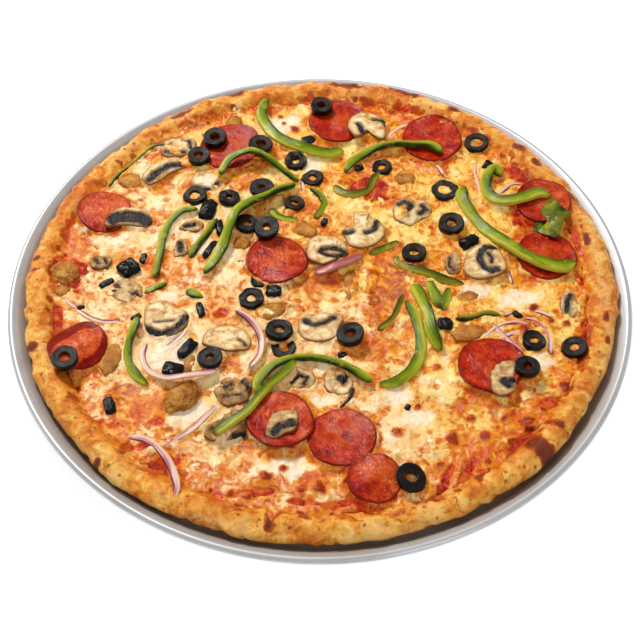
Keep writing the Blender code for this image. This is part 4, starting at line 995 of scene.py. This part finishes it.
def rest_of(node):
    """Where a node lies: its middle, half its width, and its height and slope there."""
    points = points_of_node(node)
    low, high = points.min(0), points.max(0)
    middle = (low + high) / 2
    flat = np.c_[points[:, :2] - middle[:2], np.ones(len(points))]
    fit = np.linalg.lstsq(flat, points[:, 2], rcond=None)[0]
    return middle[:2], (high - low)[:2] / 2, fit[2], fit[:2]


def height_over(node, x, y):
    """A node's height at a place, and its slope."""
    place, half, level, slope = rest_of(node)
    return level + (slope[0] * (x - place[0]) + slope[1] * (y - place[1])), slope


def laid(points, place, level, slope):
    """Points carried to a place, and leant by shearing."""
    x, y, z = points.T
    return np.c_[x + place[0], y + place[1], z + level + slope[0] * x + slope[1] * y]


def turned(points, turn):
    """Points turned about Z."""
    cosine, sine = math.cos(math.radians(turn)), math.sin(math.radians(turn))
    return np.c_[points[:, :2] @ np.array([[cosine, sine], [-sine, cosine]]), points[:, 2]]


def pepperoni(node, seed):
    """A slice of pepperoni: a thin disc with a rim that curls up here and there."""
    place, half, level, slope = rest_of(node)
    radius = half.mean()
    mesh = spun(DISC_PROFILE, 96)
    x, y, h = points_of(mesh).T
    share, way = np.hypot(x, y), np.arctan2(y, x)
    draw = np.random.default_rng(seed)
    oval, wave = np.sin(2 * way + draw.uniform(0, 6)), np.sin(5 * way + draw.uniform(0, 6))
    reach = radius * (1 + 0.02 * oval + 0.012 * wave)
    x, y = x * reach, y * reach
    fold, wave = np.sin(2 * way + draw.uniform(0, 6)), np.sin(3 * way + draw.uniform(0, 6))
    curl = share**6 * (0.8 + 0.8 * fold + 0.5 * wave)
    grit = 0.14 * lumps(x, y, 2.2, seed, 2) + 0.4 * lumps(x, y, 10, seed + 1, 1)
    z = h * PEPPERONI_THICKNESS - 1.5 + curl + grit * h
    # The pink is a painted sheen, strongest on the slice's lit side and fading towards the rim.
    lit = ease(-0.9, 0.9, (0.5 * x + 0.6 * y) / radius) * ease(1.0, 0.9, share)
    pink = PINK_SHEEN.get(node, PINK_SHEEN_ELSEWHERE) * (0.45 + 0.55 * lit)
    rim = share
    if node in BENT_PEPPERONI:
        turn, droop = BENT_PEPPERONI[node]
        cosine, sine = math.cos(math.radians(turn)), math.sin(math.radians(turn))
        along, away = (x * cosine + y * sine) / radius, (y * cosine - x * sine) / radius
        z += 0.35 * droop - droop * away**2
        if droop > FOLDED_DROOP:
            # The face takes the most painted pink sheen; the drooping sides are painted the dark rim red, as
            # painted shade.
            width = 0.54 - 0.2 * along - 0.32 * along**2 + 0.1 * lumps(x, y, 8, 39, 1)
            sides = ease(width - 0.06, width + 0.06, np.abs(away + 0.1))
            pink, rim = 1.4 * (1 - sides), np.maximum(rim, 0.98 * sides)
    put_points(mesh, laid(np.c_[x, y, z], place, level, slope))
    put_layers(mesh, rim=rim, pink=pink, warm=ease(0.75, 0.2, share) * draw.uniform(0.2, 0.9))
    return mesh


def olive_ring(place, radius, hole, height, level, slope, seed, crumple=0.25):
    """A ring of olive. Its hole is a share of its radius."""
    wall = [(hole + 0.01, 0.3), (hole + 0.04, 0.42), (hole + 0.1, 0.44), ((hole + 1) / 2, 0.43), (0.86, 0.47),
            (0.93, 0.5), (0.975, 0.42), (1.0, 0.2)]
    profile = [(hole, 0), *wall, *((r, -h) for r, h in reversed(wall))]
    mesh = spun([(r, 2 * h) for r, h in profile], 44, hollow=True)
    points = points_of(mesh)
    share = np.hypot(points[:, 0], points[:, 1])
    draw = np.random.default_rng(seed)
    points *= (radius, radius, height / 2)
    stretch, turn = draw.uniform(0.0, 0.1), draw.uniform(0, math.pi)
    points[:, 0] *= 1 + stretch
    points = turned(points, math.degrees(turn))
    for number, point in enumerate(points):
        shake = noise.noise_vector(Vector(point) * 0.2 + Vector((seed * 3.7, 0, 0)))
        points[number] += np.array(shake) * crumple * 2
    put_points(mesh, laid(points, place, level, slope))
    put_layers(mesh, skin=ease(0.9, 0.96, share), hole=ease(hole + 0.12, hole + 0.02, share))
    return mesh


def olive_piece(x, y, length, width, height, turn, seed):
    """A crumpled or side-on piece of olive: a folded lump with some cut face showing."""
    mesh = ball(4)
    points = points_of(mesh)
    draw = np.random.default_rng(seed)
    for number, point in enumerate(points):
        p = Vector(point)
        fold = noise.noise(p * 1.5 + Vector((seed * 5.1, 0, 0)))
        crease = abs(noise.noise(p * 2.4 + Vector((0, seed * 3.3, 0))))
        square = 1 / np.abs(point).max() ** 0.55
        points[number] = point * square * (0.9 + 0.16 * fold - 0.2 * max(0, 0.16 - crease) / 0.16)
    cut = ease(0.5, 0.7, points[:, 0] * draw.choice([-1, 1]) + 0.15 * points[:, 1])
    points = turned(points * (length / 2, width / 2, height / 2), turn)
    put_points(mesh, points + (x, y, SUNK_FOOT + height / 2 - 0.2))
    put_layers(mesh, skin=1 - cut, hole=0)
    return mesh


def sausage(place, length, width, height, turn, foot, seed, fineness=6):
    """A craggy lump of browned mince with a flat foot."""
    mesh = ball(fineness)
    points = points_of(mesh)
    for number, point in enumerate(points):
        p = Vector(point)
        broad = noise.noise(p * 1.2 + Vector((seed * 2.9, 0, 0)))
        crag = noise.fractal(p * 3.2 + Vector((0, seed * 1.7, 0)), 0.6, 2.1, 4)
        points[number] = point * (0.92 + 0.24 * broad + 0.1 * crag)
    points[:, 2] = np.maximum(points[:, 2], -0.62)
    low = ease(0.15, -0.45, points[:, 2])
    points = turned(points * (length / 2, width / 2, height / 2), turn)
    put_points(mesh, points + (place[0], place[1], foot + 0.31 * height))
    put_layers(mesh, low=low)
    return mesh


def mushroom(place, outline, gills, level, slope, seed, thick=2.8, cooked=0.0):
    """A slice through a mushroom, cut to its outline, with its gills as dark hollows."""
    mesh = spun(DISC_PROFILE, 132)
    x, y, h = points_of(mesh).T
    share, way = np.hypot(x, y), np.arctan2(y, x)
    edge = smooth_path([*outline, outline[0]], 0.4)
    angle = np.arctan2(edge[:, 1], edge[:, 0])
    order = np.argsort(angle)
    reach = np.interp(way, angle[order], np.hypot(*edge.T)[order], period=math.tau)
    reach = reach + (0.5 + 0.8 * cooked) * lumps(15 * np.cos(way), 15 * np.sin(way), 6, seed, 2)
    x, y = x * reach, y * reach
    wander = 0.7 * lumps(x, y, 3.0, seed + 5, 2)
    dark = strokes(x + wander, y - wander, gills, 0.9)
    halo = strokes(x, y, [(width + 2.5, line) for width, line in gills], 2.4)
    swell = 0.6 * lumps(x, y, 9, seed, 2) + (0.35 + 1.2 * cooked) * lumps(x, y, 5, seed + 9, 2)
    z = h * (thick + swell - 0.9 * dark - 0.9 * share**6)
    z += 0.07 * (x * math.cos(seed) + y * math.sin(seed)) - thick / 2
    put_points(mesh, laid(np.c_[x, y, z], place, level, slope))
    put_layers(mesh, gills=dark * h, halo=halo * h, rim=share, cooked=cooked)
    return mesh


def pepper_scrap():
    """A thin, wavy scrap of pepper that lies over a slice of pepperoni."""
    level, slope = height_over("pepperoni_right_back", *SCRAP_MIDDLE)
    mesh = mushroom(SCRAP_MIDDLE, SCRAP, [], level + 2.2, slope * 0.7, 31, 1.0, 0.15)
    x, y, z = points_of(mesh).T
    put_layers(mesh, across=0.45 + 0.7 * lumps(x, y, 9, 33, 2), along=y, draw=0.5, cooked=0.5,
               end=0.7 * ease(0.1, 0.9, lumps(x, y, 6, 34, 2)))
    return mesh


def strip(path, width, thick, seed, bow=0.0, cooked=0.0, burnt=0.0):
    """A strip of pepper or onion along a path of (x, y, height of the middle)."""
    gone = np.r_[0, np.cumsum(np.linalg.norm(np.diff(path, axis=0), axis=1))]
    mesh = rod(STRIP_SIDES, len(path) - 1)
    x, y, share = points_of(mesh).T
    angle, at = np.arctan2(y, x), share * gone[-1]
    to_end = gone[-1] - at
    heading = np.gradient(path[:, :2], axis=0)
    heading /= np.linalg.norm(heading, axis=1)[:, None]
    bend = np.sum(heading[:-1, 0] * heading[1:, 1] - heading[:-1, 1] * heading[1:, 0])
    outer = -1.0 if bend > 0 else 1.0
    middle = np.column_stack([np.interp(at, gone, column) for column in path.T])
    ahead = np.column_stack([np.interp(at, gone, column) for column in heading.T])
    left = np.c_[-ahead[:, 1], ahead[:, 0]]

    # The ends are narrower and blunt, and the strip swells and leans along its way.
    draw = np.random.default_rng(seed)
    tips = [draw.uniform(0.4, 0.8) for end in (0, 1)]
    lengths = [draw.uniform(0.6, 1.7) * width for end in (0, 1)]
    narrow = np.prod([tip + (1 - tip) * ease(0, length, away)
                      for tip, length, away in zip(tips, lengths, (at, to_end))], axis=0)
    blunt = np.clip(np.minimum(at, to_end) / (0.3 * width) + 0.15, 0, 1) ** 0.5
    swell = 1 + 0.07 * np.sin(at * 0.13 + draw.uniform(0, 6))
    swell = swell + 0.04 * np.sin(at * 0.37 + draw.uniform(0, 6))
    swell = swell + 0.05 * lumps(at, 3 * np.sin(angle), 3.5, seed, 2)
    lean = 0.3 * np.sin(at * 0.06 + draw.uniform(0, 6))
    u, v = (np.sign(part) * np.abs(part) ** 0.6 for part in (np.cos(angle), np.sin(angle)))
    out = u * width / 2 * swell * narrow * blunt
    up = v * thick / 2 - bow * (u**2 - 0.5) + 0.3 * thick * outer * u * bow
    up = up * blunt * (0.5 + 0.5 * narrow)
    out, up = out * np.cos(lean) - up * np.sin(lean), out * np.sin(lean) + up * np.cos(lean)
    put_points(mesh, np.c_[middle[:, :2] + left * out[:, None], middle[:, 2] + up])
    put_layers(mesh, across=-u * outer, along=at, draw=seed * 0.37, cooked=cooked, burnt=burnt,
               end=ease(3.0, 0.3, np.minimum(at, to_end)) * draw.uniform(0.2, 0.9))
    return mesh


def strip_over(node, width, thick, points, seed, **more):
    """A strip that lies where that node's strip lies."""
    faces = [tuple(polygon.vertices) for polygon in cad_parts[node].data.polygons]
    tree = BVHTree.FromPolygons([Vector(point) for point in points_of_node(node)], faces)
    flat = smooth_path(points, STRIP_STEP)
    heights = []
    for x, y in flat:
        hit = tree.ray_cast(Vector((x, y, 100)), Vector((0, 0, -1)))[0]
        heights.append(hit.z if hit else tree.find_nearest(Vector((x, y, 20)))[0].z)
    heights = eased_line(np.array(heights), 3) - thick / 2 - 0.5
    return strip(np.c_[flat, heights], width, thick, seed, **more)


def sunk_strip(width, thick, points, seed, rise=0.0, **more):
    """A strip that has sunk into the cheese, and comes and goes a little."""
    flat = smooth_path(points, STRIP_STEP)
    level = SUNK_FOOT + thick / 2 + rise + 0.5 * np.sin(np.arange(len(flat)) * 0.25 + seed)
    return strip(np.c_[flat, level], width, thick, seed, **more)


def whole_toppings():
    """The toppings that lie on the cheese, each in place of its node."""
    made = []
    for number, node in enumerate(nodes_of("pepperoni")):
        made.append(dress(node + "_slice", pepperoni(node, 40 + number), "pepperoni", node))
    for number, node in enumerate(nodes_of("olive")):
        place, half, level, slope = rest_of(node)
        low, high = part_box(node)
        radius = half.min()
        height = np.clip((high.z - low.z) / MM - 2 * radius * float(np.abs(slope).max()), 3.2, 4.8)
        hole = OLIVE_HOLES.get(node, OLIVE_HOLE)
        mesh = olive_ring(place, radius, hole, height, level - 0.8, slope, 70 + number)
        made.append(dress(node + "_ring", mesh, "olive", node))
    for number, (node, (x, y, outline, gills)) in enumerate(MUSHROOMS.items()):
        level, slope = height_over(node, x, y)
        mesh = mushroom((x, y), outline, gills, level - 0.8, slope, 11 + number)
        made.append(dress(node + "_slice", mesh, "mushroom", node))
    for number, (node, (x, y, cooked, outline, gills)) in enumerate(CARRIED_MUSHROOMS.items()):
        level, slope = height_over(node, x, y)
        mesh = mushroom((x, y), outline, gills, level + 1.6, slope, 25 + number, 2.4, cooked)
        made.append(dress("slice_on_" + node, mesh, "mushroom", node))
    for number, (node, (length, width, height, turn)) in enumerate(SAUSAGES.items()):
        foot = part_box(node)[0].z / MM - 1.6
        mesh = sausage(rest_of(node)[0], length, width, height, turn, foot, 5 + number)
        made.append(dress(node + "_lump", mesh, "sausage", node))
    for number, (node, (width, thick, points)) in enumerate(PEPPERS.items()):
        mesh = strip_over(node, width, thick, points, 90 + number, bow=-0.5)
        made.append(dress(node + "_strip", mesh, "green_pepper", node))
    made.append(dress("pepper_scrap", pepper_scrap(), "green_pepper", "pepper_right_hook"))
    for number, (node, (width, thick, points)) in enumerate(ONIONS.items()):
        cooked = 0.85 if node == "onion_flat" else 0.0
        mesh = strip_over(node, width, thick, points, 120 + number, cooked=cooked)
        made.append(dress(node + "_strip", mesh, "red_onion", node))
    return made


def sunk_toppings():
    """The toppings that have sunk into the cheese: those that stay clear of it, and the others."""
    olives = []
    for number, (x, y, radius, hole, height) in enumerate(SUNK_OLIVES):
        slope = 0.1 * math.sin(number * 2.1), 0.1 * math.cos(number * 1.3)
        level = SUNK_FOOT + height / 2
        olives.append(olive_ring((x, y), radius, hole / radius, height, level, slope, 140 + number, 0.5))
    olives += [olive_piece(*piece, 160 + number) for number, piece in enumerate(OLIVE_PIECES)]
    peppers = [sunk_strip(*row, 200 + number, bow=-0.4, cooked=0.8 * (number in COOKED_PEPPERS))
               for number, row in enumerate(SUNK_PEPPERS)]
    onions = [sunk_strip(width, SUNK_ONION_THICKNESS, points, 230 + number, 0.6)
              for number, (width, points) in enumerate(SUNK_ONIONS)]
    width, points = BURNT_ONION
    onions.append(sunk_strip(width, SUNK_ONION_THICKNESS, points, 250, 1.6, burnt=1.0))
    feet = [SUNK_FOOT + SAUSAGE_RAISED] + [SUNK_FOOT] * (len(SUNK_SAUSAGES) - 1)
    sausages = [sausage((x, y), *sizes, foot, 260 + number, 4)
                for number, ((x, y, *sizes), foot) in enumerate(zip(SUNK_SAUSAGES, feet))]
    mushrooms = [mushroom((x, y), outline, gills, SUNK_FOOT + rise, lean, 290 + number, 3.0, cooked)
                 for number, (x, y, rise, lean, cooked, outline, gills) in enumerate(MORE_MUSHROOMS)]
    clear = [dress("sunk_olives", joined(olives), "olive", "cheese"),
             dress("sunk_peppers", joined(peppers), "green_pepper", "cheese"),
             dress("sunk_onions", joined(onions), "red_onion", "cheese")]
    drowned = [dress("sunk_sausage", joined(sausages), "sausage", "cheese"),
               dress("sunk_mushrooms", joined(mushrooms), "mushroom", "cheese")]
    return clear, drowned


# Cheese and sauce


class Map:
    """A square map of heights over the pan, one cell a millimetre."""

    REACH = 190

    def __init__(self):
        self.axis = np.arange(-self.REACH, self.REACH + 1, dtype=float)
        self.x, self.y = np.meshgrid(self.axis, self.axis, indexing="ij")

    def cast(self, pieces, upwards, wanted=None):
        """The lowest underside, or the highest top, over each cell near the pieces' own points."""
        found = np.full_like(self.x, np.inf if upwards else -np.inf)
        start, way = (0, Vector((0, 0, 1))) if upwards else (100, Vector((0, 0, -1)))
        for piece in pieces:
            points = points_of(piece.data) / MM
            faces = [tuple(polygon.vertices) for polygon in piece.data.polygons]
            tree = BVHTree.FromPolygons([Vector(p) for p in points], faces)
            near = np.zeros(self.x.shape, bool)
            i, j = (np.rint(points[:, axis]).astype(int) + self.REACH for axis in (0, 1))
            i, j = np.clip(i, 2, 2 * self.REACH - 2), np.clip(j, 2, 2 * self.REACH - 2)
            for a in (-1, 0, 1):
                for b in (-1, 0, 1):
                    near[i + a, j + b] = True
            if wanted is not None:
                near &= wanted
            for i, j in np.argwhere(near):
                hit = tree.ray_cast(Vector((self.axis[i], self.axis[j], start)), way)[0]
                if hit is not None and (hit.z < found[i, j]) == upwards:
                    found[i, j] = hit.z
        return found

    def spread(self, values, reach):
        """The values blurred out to about that many cells."""
        kernel = np.exp(-0.5 * (np.arange(-3 * reach, 3 * reach + 1) / reach) ** 2)
        kernel /= kernel.sum()
        for axis in (0, 1):
            values = np.apply_along_axis(lambda line: np.convolve(line, kernel, "same"), axis, values)
        return values

    def at(self, values, x, y):
        """The map's values at some places."""
        last = 2 * self.REACH - 1.001
        u, v = np.clip(x + self.REACH, 0, last), np.clip(y + self.REACH, 0, last)
        i, j = u.astype(int), v.astype(int)
        s, t = u - i, v - j
        return ((values[i, j] * (1 - s) + values[i + 1, j] * s) * (1 - t)
                + (values[i, j + 1] * (1 - s) + values[i + 1, j + 1] * s) * t)


def cheese_relief(x, y, sauce, blister, white):
    """The bare cheese's height: lumps, half-melted shreds, blisters and dips where sauce shows."""
    u, v = x + 4 * lumps(x, y, 14, 51, 2), y + 4 * lumps(x, y, 14, 52, 2)
    shreds = 1 - np.abs(lumps(u, v, 8, 53, 2))
    rough = 1 - 0.6 * white
    relief = 0.9 * lumps(x, y, 17, 54, 2) + rough * (1.3 * (shreds - 0.6) + 0.22 * lumps(x, y, 2.8, 55, 2))
    return CHEESE_LEVEL + relief - 1.4 * sauce + 1.5 * blister


def blisters(x, y):
    """Domes of browned cheese."""
    found = np.zeros_like(x)
    for cx, cy, radius in BLISTERS:
        away = np.hypot(x - cx, y - cy) / (1.2 * radius) + 0.35 * lumps(x, y, 4.0, 61, 2)
        found = np.maximum(found, ease(1.35, 0.15, away))
    return found


def cheese_reach(way):
    """How far out the cheese runs in each direction."""
    x, y = CHEESE_RADIUS * np.cos(way), CHEESE_RADIUS * np.sin(way)
    reach = CHEESE_RADIUS + 2.6 * lumps(x, y, 13, 81, 2) + 1.5 * lumps(x, y, 4.5, 82, 2)
    reach -= 5.0 * patches(x * 0.98, y * 0.98, SAUCE_PATCHES, 0.3, 0.3, 11)
    for tx, ty, length in TONGUES:
        away = (way - math.atan2(ty, tx) + math.pi) % math.tau - math.pi
        reach += length * np.exp(-((away * CHEESE_RADIUS / TONGUE_WIDTH) ** 2))
    return reach


def cheese_lift(ground, under, clear, drowned):
    """How much the cheese rises to what lies on it, climbs what has sunk in, and runs over it."""
    x, y = ground.x, ground.y
    bare = cheese_relief(x, y, patches(x, y, SAUCE_PATCHES, 0.45, 0.3, 11), 0.0,
                         patches(x, y, WHITE_PATCHES, 0.4, 0.5, 13))
    covered = np.isfinite(under)
    rise = np.where(covered, np.clip(np.where(covered, under, 0) + 1.0 - bare, -1.6, 4.0), 0.0)
    weight = ground.spread(covered.astype(float), 2)
    near = ground.spread(rise * covered, 2) / np.maximum(weight, 0.02)
    lift = np.where(covered, rise, near * ease(0.05, 0.5, weight))
    sunk = np.maximum(clear, drowned) > 0
    bank = ground.spread(sunk.astype(float), 1.5) * ~sunk
    lift += 1.5 * ease(0.02, 0.5, bank) * ~covered
    cover = (drowned > 0) & (lumps(x, y, 9, 91, 2) > 0.42)
    over = np.where(cover, np.clip(drowned + 0.35 - bare, 0, 4.5), 0)
    return np.maximum(lift, ground.spread(over, 1))


def cheese(ground, lift, crust_tops):
    """The cheese: its relief, raised by the lift, with an edge that laps onto the crust."""
    mesh = layer_mesh(CHEESE_CELLS, 0.955)
    points = points_of(mesh)
    share, way = np.hypot(points[:, 0], points[:, 1]), np.arctan2(points[:, 1], points[:, 0])
    foot = np.arange(len(points)) >= (CHEESE_CELLS + 1) ** 2
    reach = CHEESE_RADIUS + (cheese_reach(way) - CHEESE_RADIUS) * ease(0.85, 1.0, share)
    x, y = (points[:, axis] * reach + PIZZA_CENTRE[axis] for axis in (0, 1))
    shown, blister = patches(x, y, SAUCE_PATCHES, 0.6, 0.4, 11), blisters(x, y)
    white = patches(x, y, WHITE_PATCHES, 0.5, 0.7, 13)
    z = cheese_relief(x, y, shown, blister, white) + ground.at(lift, x, y)
    z = np.maximum(z, ground.at(crust_tops, x, y) + 1.1 + 0.5 * lumps(x, y, 3, 56, 2))
    z = z - 2.2 * ease(0.985, 1.0, share) * (share > 0.98)
    put_points(mesh, np.c_[x, y, np.where(foot, CHEESE_FOOT, z)])

    bleed = np.zeros_like(x)
    for node in nodes_of("pepperoni"):
        place, half = rest_of(node)[:2]
        away = np.hypot(x - place[0], y - place[1])
        bleed = np.maximum(bleed, ease(half.mean() + 7, half.mean() + 1, away))
    oil = np.maximum(patches(x, y, OILY_PATCHES, 0.7, 0.8, 12), 0.8 * ease(0.93, 1.0, share))
    seam = 0.85 * ease(0.945, 0.98, share) * ease(0.42, 0.62, lumps(x, y, 13, 62, 2))
    scorched = 0.8 * ease(0.955, 0.995, share) * ease(0.3, 0.8, lumps(x, y, 6, 57, 2))
    gold = ease(-100, 110, 0.8 * x + 0.6 * y) + 0.3 * lumps(x, y, 40, 59, 2)
    put_layers(mesh, sauce=np.maximum(shown, seam), pool=patches(x, y, POOLS, 0.4, 0.4, 14),
               brown=np.maximum(blister, scorched), gold=np.clip(gold, 0, 1),
               oil=np.maximum(oil, bleed * (0.6 + 0.5 * lumps(x, y, 9, 58, 2))),
               white=white * (1 - bleed) * ease(1.0, 0.92, share))
    return mesh


def sauce():
    """The sauce under the cheese, which comes up where the cheese is thin."""
    mesh = layer_mesh(SAUCE_CELLS, 0.97)
    points = points_of(mesh)
    low = np.arange(len(points)) >= (SAUCE_CELLS + 1) ** 2
    foot = (np.hypot(points[:, 0], points[:, 1]) < 0.971) & low
    x, y = (points[:, axis] * SAUCE_RADIUS + PIZZA_CENTRE[axis] for axis in (0, 1))
    z = 14.3 + 0.7 * lumps(x, y, 7, 71, 3) + 0.9 * patches(x, y, SAUCE_PATCHES, 0.45, 0.3, 11)
    put_points(mesh, np.c_[x, y, np.where(foot, SAUCE_FOOT, z)])
    return mesh


# Room

CAMERA_LENS = 86.01
CAMERA_PLACE = (0, -0.640471, 0.781982)
CAMERA_TILT = 51.327


def placed(name, data, place):
    """An object for the room, linked to the scene."""
    thing = bpy.data.objects.new(name, data)
    bpy.context.scene.collection.objects.link(thing)
    thing.location = place
    return thing


def camera():
    """The camera, where the photograph's was."""
    data = bpy.data.cameras.new("camera")
    data.lens, data.sensor_width = CAMERA_LENS, 36.0
    eye = placed("camera", data, CAMERA_PLACE)
    eye.rotation_euler = (math.radians(90 - CAMERA_TILT), 0, 0)
    bpy.context.scene.camera = eye


def lamp(name, place, size, power, colour):
    """A square lamp that faces the pan."""
    data = bpy.data.lights.new(name, "AREA")
    data.size, data.energy, data.color = size, power, colour
    placed(name, data, place).rotation_euler = (-Vector(place)).to_track_quat("-Z", "Y").to_euler()


def room():
    """A lit white table, a soft lamp from behind the left and a weaker one in front."""
    shape = bmesh.new()
    bmesh.ops.create_grid(shape, x_segments=1, y_segments=1, size=30)
    floor = placed("floor", mesh_of(shape, "floor"), (0, 0, -0.0002))
    paper = Finish("white_floor", Roughness=0.9, Emission_Strength=0.52)
    paper.tone = paper.scale(paper.grain(200), {0.0: (247, 247, 247), 1.0: (249, 249, 249)})
    floor.data.materials.append(paper.done())
    lamp("key", (-0.6, 1.0, 1.5), 0.35, 30.5, (1.0, 0.97, 0.915))
    lamp("front", (0.7, -1.3, 1.1), 1.0, 6, (1.0, 1.0, 1.0))
    world = bpy.data.worlds.new("studio")
    world.use_nodes = True
    background = world.node_tree.nodes["Background"].inputs
    background["Color"].default_value, background["Strength"].default_value = (1, 1, 1, 1), 0.41
    bpy.context.scene.world = world
    bpy.context.scene.view_settings.view_transform = "Standard"


LOOKS = {
    "pan_metal": pan_aluminium(),
    "crust": baked_crust(),
    "sauce": tomato_sauce(),
    "cheese": melted_cheese(),
    "pepperoni": cured_pepperoni(),
    "olive": black_olive(),
    "green_pepper": roast_pepper(),
    "red_onion": soft_onion(),
    "mushroom": roast_mushroom(),
    "sausage": browned_sausage(),
}


def pizza():
    """All the pieces, each in place of its node, with the cheese fitted round the toppings."""
    dress("spun_pan", pan(), "pan_metal", "pan")
    dough = dress("baked_crust", crust(), "crust", "crust")
    dress("tomato_sauce", sauce(), "sauce", "sauce")
    whole = whole_toppings()
    clear, drowned = sunk_toppings()
    ground = Map()
    crust_tops = ground.cast([dough], False, np.abs(np.hypot(ground.x, ground.y) - 177) < 12)
    under = ground.cast(whole, True)
    lift = cheese_lift(ground, under, ground.cast(clear, False), ground.cast(drowned, False))
    dress("melted_cheese", cheese(ground, lift, np.maximum(crust_tops, 0)), "cheese", "cheese")


camera()
room()
pizza()
